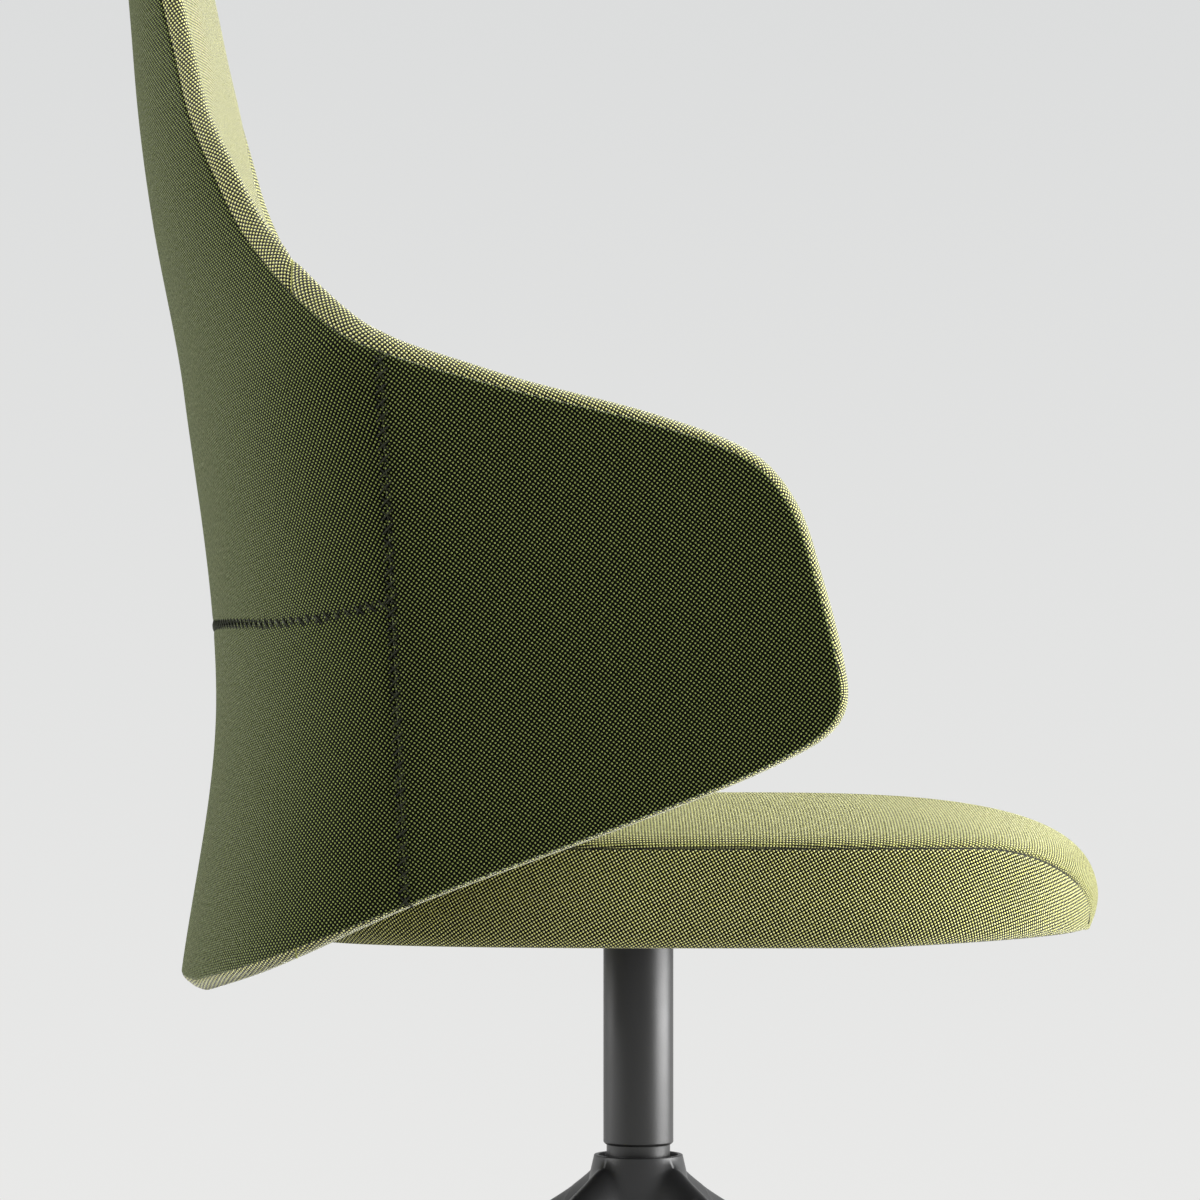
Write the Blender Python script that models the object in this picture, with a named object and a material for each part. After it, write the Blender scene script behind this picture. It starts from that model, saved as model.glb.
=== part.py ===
# High-back swivel armchair: an upholstered wrap-round shell and a crowned seat cushion
# on a fixed-height swivel column and a four-arm pyramid base.
# Metres, +Z up. The sitter faces -Y, with the right hand at -X.
# Every depth (y) below is measured from the column axis, which AXIS_Y places in the world.
import math
from collections import namedtuple

import bmesh
import bpy
from mathutils import Vector

# Fits
GAP = 0.0003
LAYER_GAP = 0.0007

# Shell: its rear line, half width and corner depth in plan by height, as (height, size)
SHELL_REAR = (
    (0.330, 0.324),
    (0.530, 0.298),
    (0.740, 0.320),
    (0.860, 0.3412),
    (0.940, 0.3515),
    (1.030, 0.3595),
    (1.220, 0.3800),
)
SHELL_HALF_WIDTH = (
    (0.330, 0.285),
    (0.450, 0.305),
    (0.600, 0.325),
    (0.720, 0.335),
    (0.860, 0.262),
    (1.000, 0.182),
    (1.220, 0.170),
)
SHELL_CORNER = ((0.330, 0.165), (0.740, 0.165), (1.000, 0.070), (1.220, 0.062))
# How much flatter than an ellipse the middle of the back is in plan, by height; 1 is an ellipse
SHELL_FLATNESS = ((0.330, 1.0), (0.740, 1.0), (0.950, 1.2), (1.220, 1.2))
# Edge of the outer cover seen from the side, rear bottom to top: (depth, height, edge roll)
SHELL_EDGE = (
    (0.300, 0.337, 0.006),
    (0.250, 0.353, 0.005),
    (0.150, 0.391, 0.003),
    (-0.036, 0.461, 0.003),
    (-0.098, 0.488, 0.004),
    (-0.121, 0.507, 0.005),
    (-0.125, 0.530, 0.005),
    (-0.107, 0.601, 0.005),
    (-0.092, 0.641, 0.0055),
    (-0.066, 0.669, 0.006),
    (-0.008, 0.690, 0.0065),
    (0.093, 0.7135, 0.009),
    (0.178, 0.7415, 0.013),
    (0.2157, 0.771, 0.015),
    (0.2416, 0.800, 0.0145),
    (0.2612, 0.8286, 0.0135),
    (0.281, 0.8686, 0.012),
    (0.2981, 0.909, 0.0105),
    (0.3094, 0.9505, 0.0105),
    (0.3204, 0.9918, 0.0105),
    (0.3305, 1.040, 0.0105),
    (0.3384, 1.080, 0.0105),
    (0.3535, 1.165, 0.0105),
    (0.3642, 1.195, 0.0105),
    (0.3731, 1.212, 0.0105),
    (0.3786, 1.2205, 0.0105),
)
COVER_THICKNESS = 0.004
CORE_THICKNESS = 0.008
CORE_INSET = 0.014
EDGE_THICKNESS = 0.018
# How much thicker the padding is in the middle of the shell than at its edge, by height
PAD_CROWN = (
    (0.330, 0.012),
    (0.430, 0.036),
    (0.600, 0.038),
    (0.950, 0.041),
    (1.013, 0.034),
    (1.075, 0.027),
    (1.220, 0.012),
)
# How full the padding stays towards the edge, by height; 2 is a parabola
PAD_FULLNESS = ((0.330, 2.0), (0.720, 2.0), (0.900, 2.6), (1.220, 2.6))
SIDE_SEAM_LOW = (0.150, 0.389)
SIDE_SEAM_HIGH = (0.164, 0.737)
BACK_SEAM_HEIGHT = 0.580
PAD_SEAM_DEPTH = 0.222

# Seat cushion
SEAT_HALF_WIDTH = 0.250
SEAT_FRONT = 0.322
SEAT_REAR = 0.244
SEAT_CENTRE = -0.050
SEAT_SQUARENESS = 2.8
SEAT_BOTTOM = 0.3622
SEAT_CROWN = 0.4635
CROWN_FULLNESS = 3.4
SEAM_HEIGHT = 0.4265
SEAM_DROP_START = 0.216
SEAM_DROP_END = 0.3098
SEAM_END_SHARE = 0.03
BAND_LEAST = 0.0036
SIDE_TUCK = 0.006
TUCK_HEIGHT = 0.030
SKIN = 0.003

# Seat underside
TRAY_FLOOR = 0.003
TRAY_DEPTH = 0.0137
TRAY_BOSS_RADIUS = 0.007
BOARD_THICKNESS = 0.014
PLATE_THICKNESS = 0.004
PLATE_CORNER = 0.025
PLATE_BOLT_PITCH = 0.160
PLATE_EDGE = 0.020
TRAY_SCREW_INSETS = (0.080, 0.156)
COLUMN_OPENING = 0.029

# Brackets between seat board and shell core, and the fasteners
BRACKET_SPREAD = 0.085
BRACKET_WIDTH = 0.044
BRACKET_THICKNESS = 0.005
BRACKET_START = 0.112
BRACKET_BEND = 0.004
BRACKET_TOP = 0.440
BOSS_FACE = 0.276
BOARD_BOLT_DEPTHS = (0.135, 0.205)
CORE_BOLT_HEIGHTS = (0.398, 0.426)
BOLT_RADIUS = 0.003
BOLT_LENGTH = 0.012
PLATE_BOLT_RADIUS = 0.004
PLATE_BOLT_LENGTH = 0.016
HEAD_HEIGHT = 0.0036
HEAD_RADIUS_RATIO = 1.75
HEAD_EDGE_SHARE = 0.5
HEAD_TOP_SHARE = 0.6
NUT_FLANGE = 0.0015
NUT_FLANGE_RADIUS = 0.011
NUT_WALL = 0.0012

# Swivel column
TUBE_RADIUS = 0.025
TUBE_TOP = 0.368
TUBE_STEP = 0.2125
TUBE_WALL = 0.002
TUBE_CHAMFER = 0.0015
NECK_RADIUS = 0.022
NECK_END_RADIUS = 0.0215
NECK_BORE = 0.0195
TUBE_BOTTOM = 0.124
TUBE_FLOOR = 0.010
SPINDLE_RADIUS = 0.014
SPINDLE_TIP = 0.0132
STUB_RADIUS = 0.006
STUB_BOTTOM = 0.117
THRUST_WASHER = 0.003
UPPER_BUSH_LENGTH = 0.060
BUSH_FLANGE = 0.002
FLANGE_INSET = 0.0005
LOWER_BUSH_RISE = 0.016
LOWER_BUSH_LENGTH = 0.025
KEEPER_RADIUS = 0.014
KEEPER_THICKNESS = 0.0015
CLIP_RADIUS = 0.010
CLIP_THICKNESS = 0.0025
SOCKET_RADIUS = 0.022
SOCKET_BOTTOM = 0.3715
SOCKET_TOP = 0.4085

# Pyramid base
HUB_TOP = 0.2052
HUB_BOTTOM = 0.120
COLLAR_RADIUS = 0.0318
COLLAR_FOOT_RADIUS = 0.0346
COLLAR_FOOT = 0.192
RIM_ROUND = 0.001
RECESS_RADIUS = 0.0285
RECESS_FLOOR = 0.198
BOSS_RADIUS = 0.029
WEB_REACH = 0.062
BASE_REACH = 0.350
ARM_ROOT_HALF = 0.026
ARM_TIP_HALF = 0.019
ARM_WALL = 0.005
RIDGE_LINE = (
    (0.0346, 0.2030),
    (0.0385, 0.1985),
    (0.0426, 0.1943),
    (0.049, 0.1889),
    (0.066, 0.1777),
    (0.089, 0.1652),
    (0.150, 0.1335),
    (0.350, 0.040),
)
LOWER_EDGE = ((0.040, 0.130), (0.160, 0.078), (0.300, 0.0142), (0.400, 0.0142))
NOSE = 0.014
NOSE_DROP = 0.005
NOSE_ROUNDING = 0.8
NOSE_SHARES = (0.5, 0.15, 0.0)
ARM_SQUARENESS = 3.5
WEB_FADE = 0.030
WEB_CURVE = 0.6
GLIDE_INSET = 0.025
GLIDE_RADIUS = 0.017
GLIDE_HEIGHT = 0.0139
GLIDE_ROUND = 0.002
STEM_RADIUS = 0.004
STEM_LENGTH = 0.022
STEM_ENTRY = 0.017

# Facets
ROUND = 24
BOLT_ROUND = 8
ROLL_STEPS = 4
ROW_SPACING = 0.075
SHELL_COLUMNS = 14
STRAIGHT_SHARE = 0.35
SEAT_STEPS = 32
ARM_STEPS = 6
WEB_STATIONS = 4
ARM_STATIONS = 7
STATION_CURVE = 1.6
NUDGE = 0.001
LEAST_STEEPNESS = 0.3
CUT_REACH = 1.0

# The column axis lies so that the seat front and the top of the back are equally far from y = 0.
AXIS_Y = (SEAT_FRONT - SHELL_REAR[-1][1]) / 2
CORE_DEPTH = COVER_THICKNESS + LAYER_GAP
BOARD_BOTTOM = SEAT_BOTTOM + TRAY_DEPTH + GAP
BOARD_TOP = BOARD_BOTTOM + BOARD_THICKNESS
PLATE_BOTTOM = BOARD_BOTTOM - GAP - PLATE_THICKNESS
QUARTER = math.pi / 2
DIAGONAL = math.cos(math.pi / 4)
GLIDE_REACH = BASE_REACH - GLIDE_INSET
STEM_TOP = GLIDE_HEIGHT + GAP + STEM_ENTRY
ARM_TURNS = [math.pi / 4 + QUARTER * arm for arm in range(4)]
GLIDE_PLACES = [(GLIDE_REACH * math.cos(turn), GLIDE_REACH * math.sin(turn)) for turn in ARM_TURNS]

for old in list(bpy.data.objects):
    bpy.data.objects.remove(old)


def material(name, colour, roughness, metallic=0.0):
    made = bpy.data.materials.new(name)
    made.use_nodes = True
    shader = made.node_tree.nodes["Principled BSDF"]
    shader.inputs["Base Color"].default_value = (*colour, 1.0)
    shader.inputs["Roughness"].default_value = roughness
    shader.inputs["Metallic"].default_value = metallic
    return made


OUTER_CLOTH = material("outer_woven_cloth", (0.105, 0.130, 0.045), 0.90)
INNER_CLOTH = material("inner_woven_cloth", (0.480, 0.490, 0.215), 0.90)
FOAM = material("cut_foam", (0.720, 0.640, 0.420), 0.95)
PLYWOOD = material("moulded_plywood", (0.420, 0.270, 0.120), 0.70)
POWDER_COAT = material("black_powder_coat", (0.030, 0.030, 0.031), 0.42)
STEEL = material("bright_steel", (0.520, 0.520, 0.530), 0.30, 1.0)
ZINC = material("zinc_plate", (0.560, 0.560, 0.540), 0.38, 1.0)
BLACK_PLASTIC = material("black_moulded_plastic", (0.020, 0.020, 0.021), 0.55)
ACETAL = material("white_acetal", (0.780, 0.780, 0.740), 0.45)


# Smooth curve through (place, value) pairs that never overshoots them.
def smooth_curve(keys):
    places = [key[0] for key in keys]
    values = [key[1] for key in keys]
    spans = [b - a for a, b in zip(places, places[1:])]
    rates = [(b - a) / span for a, b, span in zip(values, values[1:], spans)]
    slopes = [rates[0]]
    for before, after in zip(rates, rates[1:]):
        turning = before * after <= 0
        slopes.append(0.0 if turning else 2 * before * after / (before + after))
    slopes.append(rates[-1])

    def value(place):
        index = 0
        while index < len(spans) - 1 and place > places[index + 1]:
            index += 1
        part = (place - places[index]) / spans[index]
        if part < 0 or part > 1:
            end = 0 if part < 0 else index + 1
            return values[end] + slopes[end] * (place - places[end])
        rise = part * part * (3 - 2 * part)
        lead = part * (1 - part) ** 2 * slopes[index]
        tail = part * part * (1 - part) * slopes[index + 1]
        return values[index] + (values[index + 1] - values[index]) * rise + spans[index] * (lead - tail)

    return value


# Points along a smooth line through the given ones, no further apart than the spacing.
def line_through(points, spacing):
    knots = [Vector(point) for point in points]
    line = [knots[0]]
    for index in range(len(knots) - 1):
        start, end = knots[index], knots[index + 1]
        before = knots[index - 1] if index else start * 2 - end
        after = knots[index + 2] if index + 2 < len(knots) else end * 2 - start
        steps = max(1, math.ceil((end - start).length / spacing))
        reach = (end - start).length
        leave = (end - before).normalized() * reach
        arrive = (after - start).normalized() * reach
        for step in range(1, steps + 1):
            t = step / steps
            blend = t * t * (3 - 2 * t)
            curve = leave * (t * (1 - t) ** 2) - arrive * (t * t * (1 - t))
            line.append(start.lerp(end, blend) + curve)
    return line


def make_object(name, mesh, surface, smooth_angle=40):
    mesh.shade_smooth()
    mesh.set_sharp_from_angle(angle=math.radians(smooth_angle))
    made = bpy.data.objects.new(name, mesh)
    made.data.materials.clear()
    made.data.materials.append(surface)
    bpy.context.scene.collection.objects.link(made)
    return made


def mesh_from(shape, name):
    bmesh.ops.remove_doubles(shape, verts=shape.verts, dist=1e-6)
    bmesh.ops.recalc_face_normals(shape, faces=shape.faces)
    mesh = bpy.data.meshes.new(name)
    shape.to_mesh(mesh)
    shape.free()
    return mesh


# Two triangles, split from a to c or, when flipped, from b to d.
def add_cell(shape, a, b, c, d, flipped=False):
    if flipped:
        a, b, c, d = b, c, d, a
    shape.faces.new((a, b, c))
    shape.faces.new((a, c, d))


def add_strip(shape, first, second, closed=False):
    count = len(first)
    for index in range(count if closed else count - 1):
        other = (index + 1) % count
        add_cell(shape, first[index], first[other], second[other], second[index])


# Fan of triangles from a closed loop to one point.
def add_fan(shape, loop, point):
    tip = shape.verts.new(point)
    for here, there in zip(loop, loop[1:] + loop[:1]):
        shape.faces.new((here, there, tip))


# Solid through closed rings of points. The last ring joins the first, or runs to a tip, or the
# two ends are flat.
def ring_solid(name, rings, joined=False, tip=None):
    shape = bmesh.new()
    loops = [[shape.verts.new(point) for point in ring] for ring in rings]
    for first, second in zip(loops, loops[1:]):
        add_strip(shape, first, second, closed=True)
    if joined:
        add_strip(shape, loops[-1], loops[0], closed=True)
    else:
        shape.faces.new(loops[0])
        if tip:
            add_fan(shape, loops[-1], tip)
        else:
            shape.faces.new(loops[-1])
    return mesh_from(shape, name)


# Solid turned about the Z axis from (radius, height) pairs.
def turned(name, profile, joined=False, steps=ROUND):
    rings = []
    for radius, height in profile:
        angles = [2 * math.pi * step / steps for step in range(steps)]
        rings.append([(radius * math.cos(a), radius * math.sin(a), height) for a in angles])
    return ring_solid(name, rings, joined)


def sleeve_profile(inner, outer, low, high):
    return [(inner, low), (outer, low), (outer, high), (inner, high)]


def cells_of(rows, columns):
    spots = [(i, j) for i in range(rows - 1) for j in range(columns - 1)]
    return [((i, j), (i, j + 1), (i + 1, j + 1), (i + 1, j)) for i, j in spots]


# Cells whose second diagonal is the shorter one. Layers that lie on each other share the answer,
# so that their facets stay parallel and keep their gap.
def flipped_cells(grid):
    flipped = set()
    for cell in cells_of(len(grid), len(grid[0])):
        a, b, c, d = [Vector(grid[i][j]) for i, j in cell]
        if (b - d).length < (a - c).length:
            flipped.add(cell[0])
    return flipped


# Closed sheet between two grids of points.
def sheet_solid(name, outer, inner, flipped=()):
    shape = bmesh.new()
    faces_out = [[shape.verts.new(point) for point in row] for row in outer]
    faces_in = [[shape.verts.new(point) for point in row] for row in inner]
    for grid in (faces_out, faces_in):
        for cell in cells_of(len(grid), len(grid[0])):
            add_cell(shape, *[grid[i][j] for i, j in cell], cell[0] in flipped)
    for end in (0, -1):
        add_strip(shape, faces_out[end], faces_in[end])
        add_strip(shape, [row[end] for row in faces_out], [row[end] for row in faces_in])
    return mesh_from(shape, name)


# Box between two opposite corners, as a cutting tool or a block to join.
def block(low, high):
    x0, y0, z0 = low
    x1, y1, z1 = high
    rings = [[(x0, y0, z), (x1, y0, z), (x1, y1, z), (x0, y1, z)] for z in (z0, z1)]
    return make_object("tool", ring_solid("tool", rings), STEEL)


def rod(radius, low, high, place, steps=BOLT_ROUND):
    tool = make_object("tool", turned("tool", [(radius, low), (radius, high)], steps=steps), STEEL)
    tool.location = (*place, 0.0)
    return tool


def rod_along_y(radius, near, far, across, height, steps=BOLT_ROUND):
    tool = make_object("tool", turned("tool", [(radius, near), (radius, far)], steps=steps), STEEL)
    tool.rotation_euler = (-QUARTER, 0.0, 0.0)
    tool.location = (across, 0.0, height)
    return tool


def shape_with(target, tool, operation="DIFFERENCE"):
    change = target.modifiers.new("shape", "BOOLEAN")
    change.operation = operation
    change.object = tool
    graph = bpy.context.evaluated_depsgraph_get()
    mesh = bpy.data.meshes.new_from_object(target.evaluated_get(graph))
    target.modifiers.clear()
    target.data = mesh
    bpy.data.objects.remove(tool)


# Takes an object apart into its separate bodies and names each from its middle point.
def take_apart(whole, name_for):
    shape = bmesh.new()
    shape.from_mesh(whole.data)
    surface = whole.data.materials[0]
    bpy.data.objects.remove(whole)
    left = set(shape.faces)
    bodies = []
    while left:
        body = set()
        front = [left.pop()]
        while front:
            face = front.pop()
            body.add(face)
            for edge in face.edges:
                for beside in edge.link_faces:
                    if beside in left:
                        left.discard(beside)
                        front.append(beside)
        points = {corner for face in body for corner in face.verts}
        middle = sum((corner.co for corner in points), Vector()) / len(points)
        piece = bmesh.new()
        copies = {corner: piece.verts.new(corner.co) for corner in points}
        for face in body:
            piece.faces.new([copies[corner] for corner in face.verts])
        name = name_for(middle)
        bodies.append(make_object(name, mesh_from(piece, name), surface))
    shape.free()
    return bodies


rear_line = smooth_curve(SHELL_REAR)
half_width = smooth_curve(SHELL_HALF_WIDTH)
corner_depth = smooth_curve(SHELL_CORNER)
flatness = smooth_curve(SHELL_FLATNESS)
pad_crown = smooth_curve(PAD_CROWN)
pad_fullness = smooth_curve(PAD_FULLNESS)
ridge_line = smooth_curve(RIDGE_LINE)
lower_edge = smooth_curve(LOWER_EDGE)


# The shell is a half ellipse in plan, flatter at the head, with straight arms past a quarter turn
# each side.
def outer_point(turn, height):
    bend = min(abs(turn), QUARTER)
    straight = max(abs(turn) - QUARTER, 0.0)
    across = math.copysign(half_width(height) * math.sin(bend), turn)
    flat = flatness(height)
    forward = corner_depth(height) * ((1 - math.cos(bend)) ** flat + flat * straight)
    return Vector((across, rear_line(height) - forward, height))


def inward(turn, height):
    along = outer_point(turn + NUDGE, height) - outer_point(turn - NUDGE, height)
    up = outer_point(turn, height + NUDGE) - outer_point(turn, height - NUDGE)
    return along.cross(up).normalized()


def shell_point(turn, height, depth):
    return outer_point(turn, height) + inward(turn, height) * depth


def turn_at(depth, height):
    share = (rear_line(height) - depth) / corner_depth(height)
    flat = flatness(height)
    return math.acos(1 - share ** (1 / flat)) if share < 1 else QUARTER + (share - 1) / flat


# One row of the shell: its height, the turn at its edge, the roll there, how steeply the edge
# climbs, and how far the turn goes along the row in one metre.
Row = namedtuple("Row", "height turn roll steepness rate")


def shell_rows():
    edge = line_through(SHELL_EDGE, ROW_SPACING)
    rows = []
    for index, (depth, height, roll) in enumerate(edge):
        turn = turn_at(depth, height)
        here = edge[max(index - 1, 0)]
        there = edge[min(index + 1, len(edge) - 1)]
        first = outer_point(turn_at(here[0], here[1]), here[1])
        second = outer_point(turn_at(there[0], there[1]), there[1])
        steepness = max(abs(second.z - first.z) / (second - first).length, LEAST_STEEPNESS)
        rate = NUDGE / (outer_point(turn, height) - outer_point(turn - NUDGE, height)).length
        rows.append(Row(height, turn, roll, steepness, rate))
    return rows


ROWS = shell_rows()


# Turns across one row: its two edges, and lines up to the core's edge that lie closer together
# round the corners than along the straight arms.
def row_turns(row):
    limit = row.turn - CORE_INSET / row.steepness * row.rate
    corner = min(limit, QUARTER)
    reach = corner + (limit - corner) * STRAIGHT_SHARE
    steps = SHELL_COLUMNS - 2
    turns = []
    for step in range(steps + 1):
        place = reach * (2 * step / steps - 1)
        straight = max(abs(place) - corner, 0.0) / STRAIGHT_SHARE
        turns.append(math.copysign(min(abs(place), corner) + straight, place))
    return [-row.turn] + turns + [row.turn]


# Every layer of the shell takes its points from the same lines, so their facets lie parallel.
def shell_grid(depth):
    return [[shell_point(turn, row.height, depth) for turn in row_turns(row)] for row in ROWS]


SHELL_FLIPS = flipped_cells(shell_grid(0.0))


# Draws the rim of a grid in along its own lines, to leave the gap to the piece around it.
def drawn_in(grid, rows, gap):
    drawn = [list(line) for line in grid]
    for line, row in zip(drawn, rows):
        for end, beside in ((0, 1), (-1, -2)):
            line[end] = line[end] + (line[beside] - line[end]).normalized() * gap / row.steepness
    for end, beside in ((0, 1), (-1, -2)):
        steps = [(there - here).normalized() * gap for here, there in zip(drawn[end], drawn[beside])]
        drawn[end] = [here + step for here, step in zip(drawn[end], steps)]
    return drawn


def pad_depth(row, turn):
    share = min(abs(turn) / row.turn, 1.0)
    return EDGE_THICKNESS + pad_crown(row.height) * (1 - share ** pad_fullness(row.height))


def shell_covers():
    grids = [drawn_in(shell_grid(depth), ROWS, GAP) for depth in (0.0, COVER_THICKNESS)]
    whole = make_object("covers", sheet_solid("covers", *grids, SHELL_FLIPS), OUTER_CLOTH)
    (low_y, low_z), (high_y, high_z) = SIDE_SEAM_LOW, SIDE_SEAM_HIGH
    lean = math.atan2(high_y - low_y, high_z - low_z)
    slit = block((-CUT_REACH, -GAP / 2, -CUT_REACH), (CUT_REACH, GAP / 2, CUT_REACH))
    slit.location = (0.0, low_y, low_z)
    slit.rotation_euler = (-lean, 0.0, 0.0)
    shape_with(whole, slit)
    behind = low_y + (high_y - low_y) * (BACK_SEAM_HEIGHT - low_z) / (high_z - low_z)
    low, high = BACK_SEAM_HEIGHT - GAP / 2, BACK_SEAM_HEIGHT + GAP / 2
    shape_with(whole, block((-CUT_REACH, behind, low), (CUT_REACH, CUT_REACH, high)))

    def name_for(middle):
        if middle.y < behind:
            return "right_side_cover" if middle.x < 0 else "left_side_cover"
        return "back_upper_cover" if middle.z > BACK_SEAM_HEIGHT else "back_lower_cover"

    return take_apart(whole, name_for)


# Flat-faced boss that grows out of the curved core for one bracket.
def core_boss(side):
    middle = CORE_DEPTH + CORE_THICKNESS / 2
    rings = []
    for height in (BOARD_BOTTOM, BRACKET_TOP):
        ends = [side * BRACKET_SPREAD + half * BRACKET_WIDTH / 2 for half in (-1, 1)]
        roots = [shell_point(math.asin(x / half_width(height)), height, middle).y for x in ends]
        ring = [(ends[0], BOSS_FACE, height), (ends[1], BOSS_FACE, height)]
        ring += [(ends[1], roots[1], height), (ends[0], roots[0], height)]
        rings.append(ring)
    return make_object("tool", ring_solid("tool", rings), PLYWOOD)


def shell_core():
    grids = []
    for depth in (CORE_DEPTH, CORE_DEPTH + CORE_THICKNESS):
        inside = [line[1:-1] for line in shell_grid(depth)[1:-1]]
        grids.append(drawn_in(inside, ROWS[1:-1], GAP))
    flipped = {(i - 1, j - 1) for i, j in SHELL_FLIPS}
    core = make_object("shell_core", sheet_solid("shell_core", *grids, flipped), PLYWOOD)
    for side in (-1, 1):
        shape_with(core, core_boss(side), "UNION")
        for height in CORE_BOLT_HEIGHTS:
            reach = BOSS_FACE + BOLT_LENGTH - BRACKET_THICKNESS + GAP
            hole = rod_along_y(BOLT_RADIUS + GAP, BOSS_FACE - GAP, reach, side * BRACKET_SPREAD, height)
            shape_with(core, hole)
    return core


# Foam pads with their cloth: the rim rolls over the edge and laps round the core.
def shell_pads():
    shape = bmesh.new()
    lap = CORE_DEPTH
    back_depth = CORE_DEPTH + CORE_THICKNESS + LAYER_GAP
    last_row = len(ROWS) - 1
    last_column = SHELL_COLUMNS
    front, back, lip, skirt, crease = {}, {}, {}, {}, {}
    for i, row in enumerate(ROWS):
        for j, turn in enumerate(row_turns(row)):
            spot = (i, j)
            front[spot] = shape.verts.new(shell_point(turn, row.height, pad_depth(row, turn)))
            if i in (0, last_row) or j in (0, last_column):
                skirt[spot] = shape.verts.new(shell_point(turn, row.height, lap))
                crease[spot] = shape.verts.new(shell_point(turn, row.height, 0.0))
            else:
                back[spot] = shape.verts.new(shell_point(turn, row.height, back_depth))
                if i in (1, last_row - 1) or j in (1, last_column - 1):
                    lip[spot] = shape.verts.new(shell_point(turn, row.height, lap))
    for cell in cells_of(len(ROWS), SHELL_COLUMNS + 1):
        turned_over = cell[0] in SHELL_FLIPS
        add_cell(shape, *[front[spot] for spot in cell], turned_over)
        if any(spot in skirt for spot in cell):
            add_cell(shape, *[skirt[spot] if spot in skirt else lip[spot] for spot in cell], turned_over)
        else:
            add_cell(shape, *[back[spot] for spot in cell], turned_over)

    def round_trip(low, high_row, high_column):
        bottom = [(low, j) for j in range(low, high_column)]
        right = [(i, high_column) for i in range(low, high_row)]
        top = [(high_row, j) for j in range(high_column, low, -1)]
        left = [(i, low) for i in range(high_row, low, -1)]
        return bottom + right + top + left

    inner_trip = round_trip(1, last_row - 1, last_column - 1)
    outer_trip = round_trip(0, last_row, last_column)
    for trip, outer, inner in ((inner_trip, lip, back), (outer_trip, crease, skirt)):
        for here, there in zip(trip, trip[1:] + trip[:1]):
            add_cell(shape, outer[here], outer[there], inner[there], inner[here], there < here)
    rolled = [[crease[s] for s in outer_trip]]
    count = len(outer_trip)
    for step in range(1, ROLL_STEPS):
        angle = math.pi * step / ROLL_STEPS
        loop = []
        for index, spot in enumerate(outer_trip):
            row = ROWS[spot[0]]
            turn = row_turns(row)[spot[1]]
            before = crease[outer_trip[index - 1]].co
            after = crease[outer_trip[(index + 1) % count]].co
            outward = (after - before).cross(inward(turn, row.height)).normalized()
            depth = pad_depth(row, turn) * (1 - math.cos(angle)) / 2
            point = shell_point(turn, row.height, depth) + outward * row.roll * math.sin(angle)
            loop.append(shape.verts.new(point))
        rolled.append(loop)
    rolled.append([front[s] for s in outer_trip])
    for first, second in zip(rolled, rolled[1:]):
        add_strip(shape, first, second, closed=True)
    whole = make_object("pads", mesh_from(shape, "pads"), INNER_CLOTH)
    for side in (-1, 1):
        left = side * BRACKET_SPREAD - BRACKET_WIDTH / 2 - GAP
        right = side * BRACKET_SPREAD + BRACKET_WIDTH / 2 + GAP
        low = BOARD_BOTTOM - GAP - BRACKET_THICKNESS - GAP
        shape_with(whole, block((left, SEAT_REAR, low), (right, CUT_REACH, BRACKET_TOP + GAP)))
    near, far = PAD_SEAM_DEPTH - GAP / 2, PAD_SEAM_DEPTH + GAP / 2
    shape_with(whole, block((-CUT_REACH, near, 0.0), (CUT_REACH, far, CUT_REACH)))

    def name_for(middle):
        if middle.y > PAD_SEAM_DEPTH:
            return "inner_back_pad"
        return "right_arm_pad" if middle.x < 0 else "left_arm_pad"

    return take_apart(whole, name_for)


# Seat outline: a squared ellipse with its own reach to the front and to the rear.
def seat_outline(angle, inset):
    reach = (SEAT_REAR - SEAT_CENTRE if math.sin(angle) > 0 else SEAT_FRONT + SEAT_CENTRE) - inset
    power = 2 / SEAT_SQUARENESS
    across = math.copysign(abs(math.cos(angle)) ** power, math.cos(angle))
    along = math.copysign(abs(math.sin(angle)) ** power, math.sin(angle))
    return (SEAT_HALF_WIDTH - inset) * across, reach * along


# The side seam runs level and then drops to the bottom edge round the front corners.
def seam_height(depth):
    drop = (-depth - SEAM_DROP_START) / (SEAM_DROP_END - SEAM_DROP_START)
    level = math.sqrt(1 - min(max(drop, 0.0), 1.0) ** 2)
    return SEAT_BOTTOM + (SEAM_HEIGHT - SEAT_BOTTOM) * max(level, SEAM_END_SHARE)


SEAT_ANGLES = [2 * math.pi * (step + 0.5) / SEAT_STEPS - QUARTER for step in range(SEAT_STEPS)]
SIDE_LEVELS = (0.0, 0.5, 1.0)
TOP_SHARES = (0.998, 0.975, 0.92, 0.80, 0.62, 0.35)


# Rings of the cushion surface from its bottom edge to near its middle, lying the inset inside.
def seat_rings(inset):
    rings = []
    for level in SIDE_LEVELS:
        ring = []
        for angle in SEAT_ANGLES:
            x, y = seat_outline(angle, inset)
            seam = seam_height(SEAT_CENTRE + seat_outline(angle, 0.0)[1])
            rise = (seam - SEAT_BOTTOM) * level
            tuck = 1 - SIDE_TUCK / SEAT_HALF_WIDTH * max(1 - rise / TUCK_HEIGHT, 0.0) ** 2
            ring.append((x * tuck, SEAT_CENTRE + y * tuck, SEAT_BOTTOM + rise))
        rings.append(ring)
    for share in TOP_SHARES:
        ring = []
        for angle in SEAT_ANGLES:
            x, y = seat_outline(angle, inset)
            seam = seam_height(SEAT_CENTRE + seat_outline(angle, 0.0)[1])
            rise = (1 - share ** CROWN_FULLNESS) ** (1 / CROWN_FULLNESS)
            height = seam + (SEAT_CROWN - inset - seam) * rise
            ring.append((x * share, SEAT_CENTRE + y * share, height))
        rings.append(ring)
    return rings


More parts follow.
